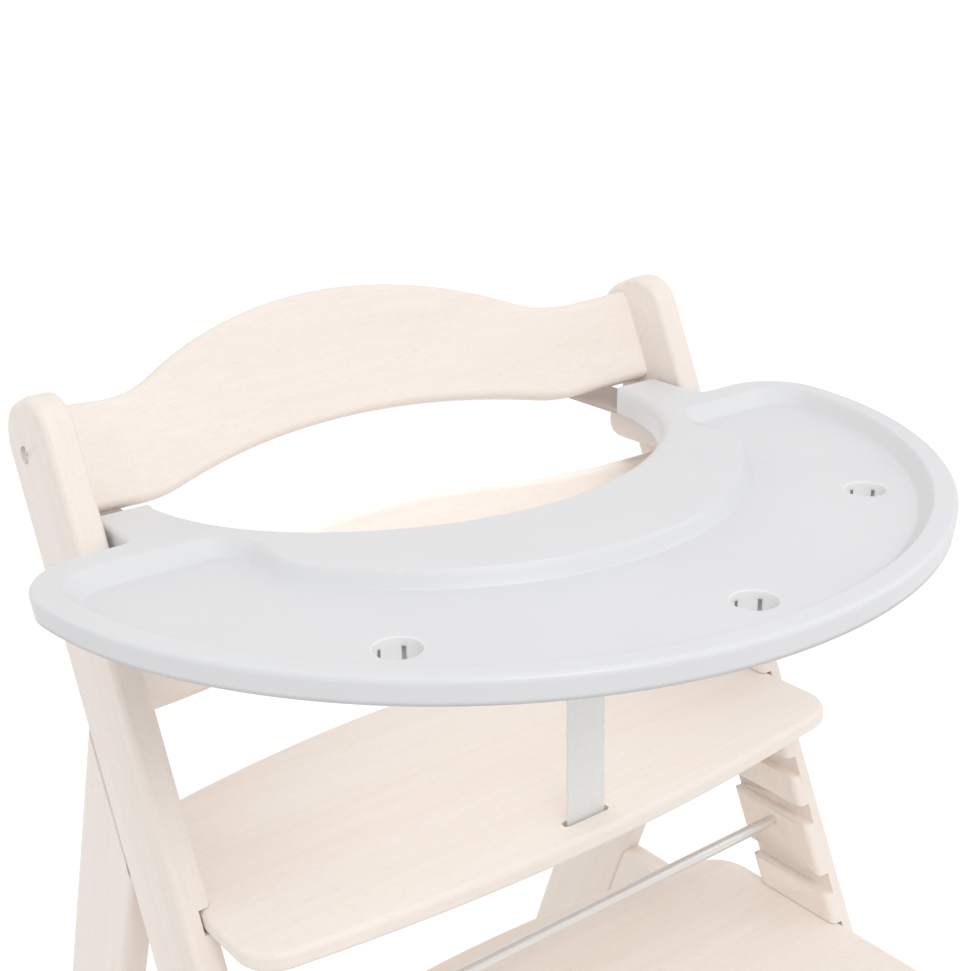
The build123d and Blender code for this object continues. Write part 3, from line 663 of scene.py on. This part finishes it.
# %% Lay the net
socket_lip, rim_margin = 0.6, 0.1
slot_count, slot_width, slot_points = 6, 2.2, 10
slot_pitch = 360 / slot_count
slot_half = math.degrees(slot_width / 2 / socket_radius)
cup_wall = np.linspace(slot_half, slot_pitch - slot_half, slot_points)[:-1]
cup_turns = [slot_pitch * k + turn for k in range(slot_count) for turn in (-slot_half, *cup_wall)]


def circle(place, radius):
    """Points round a socket, a pair of them at each slot. One slot points away from the tray's middle."""
    turns = np.radians(cup_turns) + math.atan2(place[1] - tray_centre, place[0])
    return np.stack([place[0] + radius * np.cos(turns), place[1] + radius * np.sin(turns)], 1)


loops = [outer_line] + [circle(place, socket_radius + socket_lip) for place in sockets]
net_tolerance = 1e-4
net_points = np.concatenate(loops + [inner_points])
kept_edges = []
first = 0
for loop in loops:
    count = len(loop)
    kept_edges += [(first + i, first + (i + 1) % count) for i in range(count)]
    first += count
flat, _, triangles, *_ = delaunay_2d_cdt([Vector(p) for p in net_points], kept_edges, [], 0, net_tolerance)
flat = np.array([tuple(p) for p in flat])
triangles = np.array([t for t in triangles if len(t) == 3])
middles = flat[triangles].mean(axis=1)
inside = line_distance(middles, outer_line) < 0
for x, y in sockets:
    on_rim = np.hypot(flat[:, 0] - x, flat[:, 1] - y) < socket_radius + socket_lip + rim_margin
    inside &= ~on_rim[triangles].all(axis=1)
triangles = triangles[inside]
print("net", len(flat), "points", len(triangles), "triangles")

# %% [markdown]
# Now each point of the net gets its height. The slope into the sunk surface is a ramp with soft corners. The
# rim's rounding is wider where it meets the child than on the outside, so its radius is smoothed along the
# outer line, and every point takes the radius of the nearest place on that line.


# %% Lift the net
def soft_step(distance, width, half):
    """A ramp from 0 to 1 over a width, with both its corners rounded."""
    def corner(x):
        return np.where(x < -half, 0, np.where(x > half, x, (x + half) ** 2 / (4 * half)))

    return (corner(distance) - corner(distance - width)) / width


def smoothed(values, times):
    """Values along a closed line, averaged with their neighbours a number of times."""
    for _ in range(times):
        values = (np.roll(values, 1) + 2 * values + np.roll(values, -1)) / 4
    return values


# Of the outer line, what lies in front of the belly or outside the arms belongs to the oval.
belly_front, side_slack = -100.0, 0.5
line_x, line_y = np.abs(outer_line[:, 0]), outer_line[:, 1]
on_oval = smoothed(((line_y < belly_front) | (line_x > arm_outer + side_slack)).astype(float), times=6)
on_belly = (line_x < arm_inner + side_slack) & (line_y > belly_front)
edge_round = smoothed(np.where(on_belly, belly_round, rim_round), times=4)
beside = np.array([np.argmin(np.sum((outer_line - point) ** 2, axis=1)) for point in flat])
round_here = edge_round[beside]
edge_depth = np.clip(-line_distance(flat, outer_line), 0, round_here)
edge_drop = round_here - np.sqrt(round_here**2 - (round_here - edge_depth) ** 2)
from_floor = line_distance(flat, floor_line)
slope_least, slope_most, slope_soft = 4.0, 14.0, 0.6
slope_width = np.clip(from_floor - line_distance(flat, mouth_line), slope_least, slope_most)
sunk = 1 - soft_step(from_floor, slope_width, slope_soft)
height = tray_rim - edge_drop - (tray_rim - tray_floor) * sunk
print("lowest", round(float(height.min()), 2), "highest", round(float(height.max()), 2))

# %% [markdown]
# The net's rim gets its wall, drawn in a little towards the bottom as a moulding needs to leave its mould,
# and each hole gets its rolled lip and its cup. A cup is a tube whose lower faces are left out at six slots,
# so that its walls can spring over a toy's foot.

# %% Hang the wall and the cups
tray_wall, wall_draft = 3.0, 1.4
wall_rows = (0.1, 0.3, 0.5, 0.75, 1.0)
lip_rows = (0.35, 0.7, 1.0)
slot_top = 4.5
cup_rows = (2.5, slot_top, 11.0, socket_depth)
drawn_in = ring(outer_line, -1.0) - outer_line
vertices = [(x, y, z) for (x, y), z in zip(flat, height)]
faces = [tuple(int(i) for i in t) for t in triangles]


def add_strip(above, below, skip=lambda i: False):
    """Faces between two closed rows of vertices, apart from those to skip."""
    count = len(above)
    for i in range(count):
        j = (i + 1) % count
        if not skip(i):
            faces.append((above[i], below[i], below[j], above[j]))


def add_row(points, heights):
    """A new row of vertices, all at one height or each at its own."""
    start = len(vertices)
    heights = np.broadcast_to(heights, len(points))
    vertices.extend((float(x), float(y), float(z)) for (x, y), z in zip(points, heights))
    return list(range(start, len(vertices)))


wall_top = tray_rim - edge_round
wall_drop = wall_top - tray_bottom - (edge_bottom - tray_bottom) * on_oval
above = list(range(len(outer_line)))
for share in wall_rows:
    inset = on_oval * wall_draft * share
    below = add_row(outer_line + drawn_in * inset[:, None], wall_top - wall_drop * share)
    add_strip(above, below)
    above = below
first_cup_face = len(faces)
first = len(outer_line)
for place in sockets:
    above = list(range(first, first + len(cup_turns)))
    first += len(cup_turns)
    for share in lip_rows:
        lip = math.radians(90 * share)
        rim = circle(place, socket_radius + socket_lip * (1 - math.sin(lip)))
        below = add_row(rim, tray_floor - socket_lip * (1 - math.cos(lip)))
        add_strip(below, above)
        above = below
    for depth in cup_rows:
        below = add_row(circle(place, socket_radius), tray_floor - depth)
        add_strip(below, above, lambda i: depth > slot_top and i % slot_points == 0)
        above = below
print("skin faces", len(faces), "of which cups", len(faces) - first_cup_face)

# %% [markdown]
# All the rows become one mesh. Its faces are turned outwards first, because Solidify thickens it on the
# inside. The cups' faces take the plastic painted lighter, a painted light in the cups, as the mesh's second
# material.

# %% Thicken the skin
skin_mesh = bpy.data.meshes.new("tray_skin")
skin_mesh.from_pydata([tuple(v * MM for v in vertex) for vertex in vertices], [], faces)
skin_mesh.materials.append(white_plastic)
skin_mesh.materials.append(painted_light_cup_plastic)
# The cups take the plastic painted lighter: painted light inside them.
for face in skin_mesh.polygons[first_cup_face:]:
    face.material_index = 1
form = bmesh.new()
form.from_mesh(skin_mesh)
bmesh.ops.delete(form, geom=[v for v in form.verts if not v.link_faces], context="VERTS")
bmesh.ops.recalc_face_normals(form, faces=form.faces)
top = max(form.faces, key=lambda face: face.calc_center_median().z)
if top.normal.z < 0:
    bmesh.ops.reverse_faces(form, faces=form.faces)
form.to_mesh(skin_mesh)
form.free()
skin_mesh.shade_smooth()
skin_mesh.set_sharp_from_angle(angle=math.radians(50))
tray_skin = placed("tray_skin", skin_mesh)
thicken = tray_skin.modifiers.new("wall thickness", "SOLIDIFY")
thicken.thickness = tray_wall * MM
thicken.offset = -1
thicken.use_even_offset = True
thicken.thickness_clamp = 1.0
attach(tray_skin, "play_tray")
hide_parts("tray")
print("tray skin", len(skin_mesh.vertices), "vertices", len(skin_mesh.polygons), "faces")

# %% [markdown]
# ## Under the tray
# A thin moulding is stiffened by ribs that run outwards under the sunk surface, a collar stands round each
# cup, and the clips are screwed into short round bosses. One Geometry Nodes tree makes them: it sweeps a
# flat profile along every line of a small guide mesh, and sets a boss on every loose point.

# %% Make the tree for ribs, collars and bosses
def nodes_tree(name, sizes):
    """A Geometry Nodes tree with a mesh input, named sizes, a material and a mesh output."""
    tree = bpy.data.node_groups.new(name, "GeometryNodeTree")
    add_sockets(tree, "INPUT", "NodeSocketGeometry", ["Geometry"])
    keys = add_sockets(tree, "INPUT", "NodeSocketFloat", sizes)
    keys |= add_sockets(tree, "INPUT", "NodeSocketMaterial", ["Material"])
    add_sockets(tree, "OUTPUT", "NodeSocketGeometry", ["Geometry"])
    return tree, tree.nodes.new("NodeGroupInput"), tree.nodes.new("NodeGroupOutput"), keys


def wired(tree, kind, links=(), **settings):
    """A node with its settings and its incoming links: pairs of a socket's name or number and a source."""
    node = tree.nodes.new(kind)
    for key, value in settings.items():
        setattr(node, key, value)
    for socket, source in links:
        if isinstance(source, bpy.types.NodeSocket):
            tree.links.new(source, node.inputs[socket])
        else:
            node.inputs[socket].default_value = source
    return node


def end_tree(tree, geometry, given, result):
    """End a tree: its instances become real and take its material."""
    real = wired(tree, "GeometryNodeRealizeInstances", [("Geometry", geometry)])
    links = [("Geometry", real.outputs[0]), ("Material", given.outputs["Material"])]
    dressed = wired(tree, "GeometryNodeSetMaterial", links)
    tree.links.new(dressed.outputs[0], result.inputs[0])


def grown(name, points, edges, tree, values):
    """The tree's result on a guide mesh, as a plain mesh object."""
    guide_mesh = bpy.data.meshes.new(name + "_guide")
    guide_mesh.from_pydata(points, edges, [])
    guide = placed(name + "_guide", guide_mesh)
    modifier = guide.modifiers.new("grow", "NODES")
    modifier.node_group = tree
    for key, value in values.items():
        modifier[key] = value
    evaluated = guide.evaluated_get(bpy.context.evaluated_depsgraph_get())
    mesh = bpy.data.meshes.new_from_object(evaluated)
    mesh.name = name
    guide.modifiers.remove(modifier)
    bpy.data.objects.remove(guide)
    return placed(name, mesh)


tree, given, result, keys = nodes_tree(
    "ribs_and_bosses", ["Rib thickness", "Rib height", "Boss radius", "Boss height"]
)
lines = wired(tree, "GeometryNodeMeshToCurve", [("Mesh", given.outputs["Geometry"])])
profile = wired(
    tree,
    "GeometryNodeCurvePrimitiveQuadrilateral",
    [("Width", given.outputs["Rib thickness"]), ("Height", given.outputs["Rib height"])],
)
upright_lines = wired(tree, "GeometryNodeSetCurveNormal", [("Curve", lines.outputs[0])], mode="Z_UP")
ribs = wired(
    tree,
    "GeometryNodeCurveToMesh",
    [("Curve", upright_lines.outputs[0]), ("Profile Curve", profile.outputs[0]), ("Fill Caps", True)],
)
edges_here = wired(tree, "GeometryNodeInputMeshVertexNeighbors")
loose = wired(
    tree,
    "FunctionNodeCompare",
    [(2, edges_here.outputs["Vertex Count"]), (3, 0)],
    data_type="INT",
    operation="EQUAL",
)
boss = wired(
    tree,
    "GeometryNodeMeshCylinder",
    [("Vertices", 32), ("Radius", given.outputs["Boss radius"]), ("Depth", given.outputs["Boss height"])],
)
bosses = wired(
    tree,
    "GeometryNodeInstanceOnPoints",
    [
        ("Points", given.outputs["Geometry"]),
        ("Selection", loose.outputs[0]),
        ("Instance", boss.outputs["Mesh"]),
    ],
)
both = wired(tree, "GeometryNodeJoinGeometry")
tree.links.new(bosses.outputs[0], both.inputs[0])
tree.links.new(ribs.outputs[0], both.inputs[0])
end_tree(tree, both.outputs[0], given, result)
print("tree", tree.name, len(tree.nodes), "nodes")

# %% [markdown]
# A guide is a mesh of bare edges and points. A rib's edge is found by walking outwards under the tray until
# the wall is near, the loose points are the places of the clips' screws, and a collar's guide is a closed
# ring. The collars are higher than the ribs, so the same tree grows them with another height.

# %% Lay their guides and grow them
bar_front_centre, bar_front_radius, clip_angle, clip_screw_spacing = 219.13, 308.0, 20.0, 20.0
clip_top, boss_top, boss_radius = 716.3, 729.8, 4.5
rib_top, rib_bottom, rib_thickness = 720.2, 718.5, 2.5
rib_angles, rib_reach, rib_clearance = (15.0, 30.0, 82.0), 300, 2.0
guide_points = []
guide_edges = []
for angle in rib_angles:
    for side in (1, -1):
        way = np.array([side * math.sin(math.radians(angle)), -math.cos(math.radians(angle))])
        track = np.array([0, tray_centre]) + np.arange(rib_reach)[:, None] * way
        under = line_distance(track, outer_line) < -rib_clearance - wall_draft
        ends = track[np.flatnonzero(under)[[0, -1]]]
        guide_edges.append((len(guide_points), len(guide_points) + 1))
        guide_points += [(x * MM, y * MM, (rib_top + rib_bottom) / 2 * MM) for x, y in ends]
for angle in (-clip_angle, clip_angle):
    turn = math.radians(angle)
    for x in (-clip_screw_spacing / 2, clip_screw_spacing / 2):
        boss_x = x * math.cos(turn) + bar_front_radius * math.sin(turn)
        boss_y = bar_front_centre + x * math.sin(turn) - bar_front_radius * math.cos(turn)
        guide_points.append((boss_x * MM, boss_y * MM, (clip_top + boss_top) / 2 * MM))
rib_sizes = {
    keys["Rib thickness"]: rib_thickness * MM,
    keys["Rib height"]: (rib_top - rib_bottom) * MM,
    keys["Boss radius"]: boss_radius * MM,
    keys["Boss height"]: (boss_top - clip_top) * MM,
    keys["Material"]: white_plastic,
}
stiffening = grown("tray_ribs_and_bosses", guide_points, guide_edges, tree, rib_sizes)
collar_radius, collar_bottom, collar_points = 18.75, 705.0, 64
collar_middle = (rib_top + collar_bottom) / 2
guide_points = []
guide_edges = []
for x, y in sockets:
    first = len(guide_points)
    guide_edges += [(first + i, first + (i + 1) % collar_points) for i in range(collar_points)]
    for turn in np.linspace(0, 2 * math.pi, collar_points + 1)[:-1]:
        spot = (x + collar_radius * math.cos(turn), y + collar_radius * math.sin(turn), collar_middle)
        guide_points.append(tuple(v * MM for v in spot))
rib_sizes[keys["Rib height"]] = (rib_top - collar_bottom) * MM
collars = grown("tray_collars", guide_points, guide_edges, tree, rib_sizes)
collars.data.shade_smooth()
collars.data.set_sharp_from_angle(angle=math.radians(40))
for piece in (stiffening, collars):
    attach(piece, "play_tray")
print("ribs and bosses", len(stiffening.data.polygons), "faces, collars", len(collars.data.polygons))

# %% [markdown]
# ## Tongues
# At the rear of each arm a flat tongue rests on the end of the front bar. It is a plate with two round
# corners, drawn as an outline, extruded and bevelled, and painted a warm brown-grey as painted shade under
# the backrest.

# %% Make the tongues
tongue_start, tongue_rear, tongue_round = arm_rear - tray_wall, 127.0, 8.0
tongue_low, tongue_high = tray_bottom, 717.0
form = bmesh.new()
for side in (1, -1):
    plan = np.concatenate(
        [
            [(arm_inner, tongue_start), (arm_outer, tongue_start)],
            arc((arm_outer - tongue_round, tongue_rear - tongue_round), tongue_round, 0, 90, step=1.0),
            arc((arm_inner + tongue_round, tongue_rear - tongue_round), tongue_round, 90, 180, step=1.0),
        ]
    )
    corners = [form.verts.new((side * x * MM, y * MM, tongue_low * MM)) for x, y in plan]
    base = form.faces.new(corners)
    raised = bmesh.ops.extrude_face_region(form, geom=[base])
    lifted = [v for v in raised["geom"] if isinstance(v, bmesh.types.BMVert)]
    bmesh.ops.translate(form, verts=lifted, vec=(0, 0, (tongue_high - tongue_low) * MM))
bmesh.ops.recalc_face_normals(form, faces=form.faces)
tongue_mesh = bpy.data.meshes.new("tray_tongues")
form.to_mesh(tongue_mesh)
form.free()
# The tongues are painted brown-grey: painted shade under the backrest, with a painted warm reflection of the
# beech.
tongue_mesh.materials.append(painted_shade_plastic)
tongue_mesh.shade_smooth()
tongue_mesh.set_sharp_from_angle(angle=math.radians(35))
tongues = placed("tray_tongues", tongue_mesh)
soften = tongues.modifiers.new("soft edges", "BEVEL")
soften.width = 1.0 * MM
soften.segments = 3
soften.limit_method = "ANGLE"
soften.angle_limit = math.radians(50)
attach(tongues, "play_tray")
print("tongues", len(tongue_mesh.polygons), "faces")

# %% [markdown]
# ## Webbing
# The crotch strap is a flat woven tape. Its yarns run in a herringbone: slanted rows that turn back every few
# millimetres. The pattern has to follow the tape round its loops, so the tape gets its own UV map in metres,
# across and along, and the material draws the rows from that map.

# %% Make the webbing
row_width, row_slant, yarn_pitch, fuzz_scale = 0.0035, 0.8, 0.0016, (4200, 4200, 4200)
yarn_share, fuzz_share = 0.7, 0.5
weave, source, sink = figure_group("herringbone", ("Pale", "Dark"))
axes = weave.nodes.new("ShaderNodeSeparateXYZ")
weave.links.new(source.outputs["Vector"], axes.inputs[0])
zigzag = calc(weave, "PINGPONG", axes.outputs["X"], row_width)
phase = calc(weave, "ADD", axes.outputs["Y"], calc(weave, "MULTIPLY", zigzag, row_slant))
yarn = calc(weave, "SINE", calc(weave, "MULTIPLY", phase, 2 * math.pi / yarn_pitch))
yarn = remap(weave, yarn, -1, 1)
fuzz = noise(weave, stretched(weave, source.outputs["Vector"], fuzz_scale), detail=3, roughness=0.6)
yarn_part = calc(weave, "MULTIPLY", yarn, yarn_share)
cover = calc(weave, "ADD", yarn_part, calc(weave, "MULTIPLY", fuzz, fuzz_share))
colour = blend_colours(weave, cover, source.outputs["Dark"], source.outputs["Pale"])
weave.links.new(colour, sink.inputs["Color"])
weave.links.new(remap(weave, cover, 0, 1, 0.95, 0.8), sink.inputs["Roughness"])
weave.links.new(cover, sink.inputs["Height"])

yarns = {"Pale": (0.93, 0.93, 0.915, 1), "Dark": (0.78, 0.78, 0.77, 1)}
grey_webbing, tree, shader, figure = figured_material(
    "grey_webbing", weave, yarns, relief=0.6, relief_depth=0.0004
)
shader.inputs["Sheen Weight"].default_value = 0.25
shader.inputs["Sheen Roughness"].default_value = 0.5
map_place = tree.nodes.new("ShaderNodeUVMap")
map_place.uv_map = "tape"
tree.links.new(map_place.outputs["UV"], figure.inputs["Vector"])
print("webbing", grey_webbing.name)

# %% [markdown]
# ## The crotch strap
# The tape goes over the front bar, is sewn to itself below it, runs down through the seat's slot and round a
# steel pin under the seat. It lies in one plane, so its line is a few arcs and straights in Y and Z, and two
# rounds of averaging take the kinks out where they meet.

# %% Draw the strap's line
strap_y, bar_y, bar_middle = -98.67, -88.87, 698.0
half_width, half_thickness = 14.0, 0.95
loop_half, loop_rise, loop_round = bar_y - strap_y, 13.3, 6.0
bar_rear, loop_top = bar_y + loop_half, bar_middle + loop_rise
pin_z, pin_radius, pin_start, pin_end, pin_lead = 526.4, 4.3, 130.0, 405.0, 536.0
tail_low, tail_high, tail_round, tail_turn, tail_gap = 646.0, 670.0, 12.0, 137.0, 0.1
tail_y = strap_y + 2 * half_thickness + tail_gap
slant_start, slant_end, rear_low = (tail_y + 5.5, 680.5), (bar_rear - 1.2, 690.0), 694.0
strap_line = np.concatenate(
    [
        straight((tail_y, tail_low), (tail_y, tail_high)),
        arc((tail_y + tail_round, tail_high), tail_round, 180, tail_turn, step=1.0),
        straight(slant_start, slant_end),
        straight((bar_rear, rear_low), (bar_rear, loop_top - loop_round)),
        arc((bar_rear - loop_round, loop_top - loop_round), loop_round, 0, 90, step=0.8),
        arc((strap_y + loop_round, loop_top - loop_round), loop_round, 90, 180, step=0.8),
        straight((strap_y, loop_top - loop_round - 1), (strap_y, pin_lead), step=4.0),
        arc((strap_y, pin_z), pin_radius, pin_start, pin_end, step=0.8),
    ]
)
strap_gap = 0.2
gaps = np.linalg.norm(np.diff(strap_line, axis=0), axis=1)
strap_line = strap_line[np.r_[True, gaps > strap_gap]]
for _ in range(2):
    middle = (strap_line[:-2] + 2 * strap_line[1:-1] + strap_line[2:]) / 4
    strap_line = np.concatenate([strap_line[:1], middle, strap_line[-1:]])
along = np.r_[0, np.cumsum(np.linalg.norm(np.diff(strap_line, axis=0), axis=1))]
print("strap", round(float(along[-1])), "mm of tape")

# %% [markdown]
# A thin box with rounded edges is carried along that line, and each of its faces gets its place on the tape's
# UV map. The strap would have to move with two bodies, its upper end with the chair and its lower end with
# the seat, but here its mesh is only baked in place.

# %% Carry the tape along it
tape_way = np.gradient(strap_line, axis=0)
tape_way /= np.linalg.norm(tape_way, axis=1)[:, None]
side_way = np.stack([-tape_way[:, 1], tape_way[:, 0]], 1)
section_points, section_power = 32, 0.35
turns = np.linspace(0, 2 * math.pi, section_points + 1)[:-1]
round_box = [np.sign(wave) * np.abs(wave) ** section_power for wave in (np.cos(turns), np.sin(turns))]
section = np.stack([round_box[0] * half_width, round_box[1] * half_thickness], 1)
form = bmesh.new()
tape = form.loops.layers.uv.new("tape")
rows = []
for (y, z), (ny, nz) in zip(strap_line, side_way):
    rows.append([form.verts.new((u * MM, (y + ny * t) * MM, (z + nz * t) * MM)) for u, t in section])
count = len(section)
for i in range(len(rows) - 1):
    for j in range(count):
        k = (j + 1) % count
        face = form.faces.new((rows[i][j], rows[i][k], rows[i + 1][k], rows[i + 1][j]))
        for loop, (row, column) in zip(face.loops, ((i, j), (i, k), (i + 1, k), (i + 1, j))):
            loop[tape].uv = (section[column][0] * MM, along[row] * MM)
for row, place in ((rows[0], 0), (rows[-1], -1)):
    face = form.faces.new(row)
    for loop, column in zip(face.loops, range(count)):
        loop[tape].uv = (section[column][0] * MM, along[place] * MM)
bmesh.ops.recalc_face_normals(form, faces=form.faces)
strap_mesh = bpy.data.meshes.new("strap_tape")
form.to_mesh(strap_mesh)
form.free()
strap_mesh.materials.append(grey_webbing)
strap_mesh.shade_smooth()
strap_tape = placed("strap_tape", strap_mesh)
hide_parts("crotch_strap")
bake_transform(strap_tape)
print("tape", len(strap_mesh.polygons), "faces")

# %% [markdown]
# ## Stitches
# The tape's end is sewn down with a box and a cross. A stitch repeats along lines, so a second tree walks
# the lines at even steps and sets one small rounded thread at each.

# %% Make the tree for stitches
tree, given, result, keys = nodes_tree("stitches", ["Step", "Length", "Thread radius"])
seams = wired(tree, "GeometryNodeMeshToCurve", [("Mesh", given.outputs["Geometry"])])
steps = wired(
    tree,
    "GeometryNodeCurveToPoints",
    [("Curve", seams.outputs[0]), ("Length", given.outputs["Step"])],
    mode="LENGTH",
)
thread = wired(
    tree,
    "GeometryNodeMeshUVSphere",
    [("Segments", 8), ("Rings", 6), ("Radius", given.outputs["Thread radius"])],
)
smooth_thread = wired(tree, "GeometryNodeSetShadeSmooth", [("Geometry", thread.outputs["Mesh"])])
thread_width = calc(tree, "MULTIPLY", given.outputs["Thread radius"], 2.0)
stretch = calc(tree, "DIVIDE", given.outputs["Length"], thread_width)
size = wired(tree, "ShaderNodeCombineXYZ", [("X", 1.0), ("Y", 1.0), ("Z", stretch)])
sewn = wired(
    tree,
    "GeometryNodeInstanceOnPoints",
    [
        ("Points", steps.outputs["Points"]),
        ("Instance", smooth_thread.outputs[0]),
        ("Rotation", steps.outputs["Rotation"]),
        ("Scale", size.outputs[0]),
    ],
)
end_tree(tree, sewn.outputs[0], given, result)
print("tree", tree.name, len(tree.nodes), "nodes")

# %% [markdown]
# The same seams show on both faces of the sewn end, so the guide is laid twice. It lies just clear of the
# cloth, and about half of each stitch stands out of it.

# %% Lay the seams and sew them
thread_white = fine_material(
    "thread_white", (0.80, 0.80, 0.78), (0.72, 0.72, 0.70), 0.7, (2500, 2500, 2500), 0.3
)
stitch_step, stitch_length, thread_radius, thread_lift = 2.9, 2.3, 0.32, 0.05
box_half, box_low, box_high = 10.0, 649.0, 667.0
cross_half, cross_low, cross_high = 9.0, 650.0, 666.0
seam_corners = [
    *((-box_half, box_low), (box_half, box_low), (box_half, box_high), (-box_half, box_high)),
    *((-cross_half, cross_low), (cross_half, cross_high), (-cross_half, cross_high), (cross_half, cross_low)),
]
seam_joins = [(0, 1), (1, 2), (2, 3), (3, 0), (4, 5), (6, 7)]
seam_points = []
seam_edges = []
for face_y in (strap_y - half_thickness - thread_lift, tail_y + half_thickness + thread_lift):
    seam_edges += [(len(seam_points) + a, len(seam_points) + b) for a, b in seam_joins]
    seam_points += [(x * MM, face_y * MM, z * MM) for x, z in seam_corners]
thread_sizes = {
    keys["Step"]: stitch_step * MM,
    keys["Length"]: stitch_length * MM,
    keys["Thread radius"]: thread_radius * MM,
    keys["Material"]: thread_white,
}
stitches = grown("strap_stitches", seam_points, seam_edges, tree, thread_sizes)
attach(stitches, "chair_frame")
print("stitches", len(stitches.data.polygons), "faces")

# %% [markdown]
# ## Size
# The finish must not change the chair's size, so the sizes of the box of the solids and of the box of the
# finished model are printed one after the other.

# %% Measure and finish
new_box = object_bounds()
boxes = {"cad": [list(corner) for corner in cad_box], "visual": [list(corner) for corner in new_box]}
for label, (low, high) in boxes.items():
    print(label, [round(b - a, 4) for a, b in zip(low, high)])
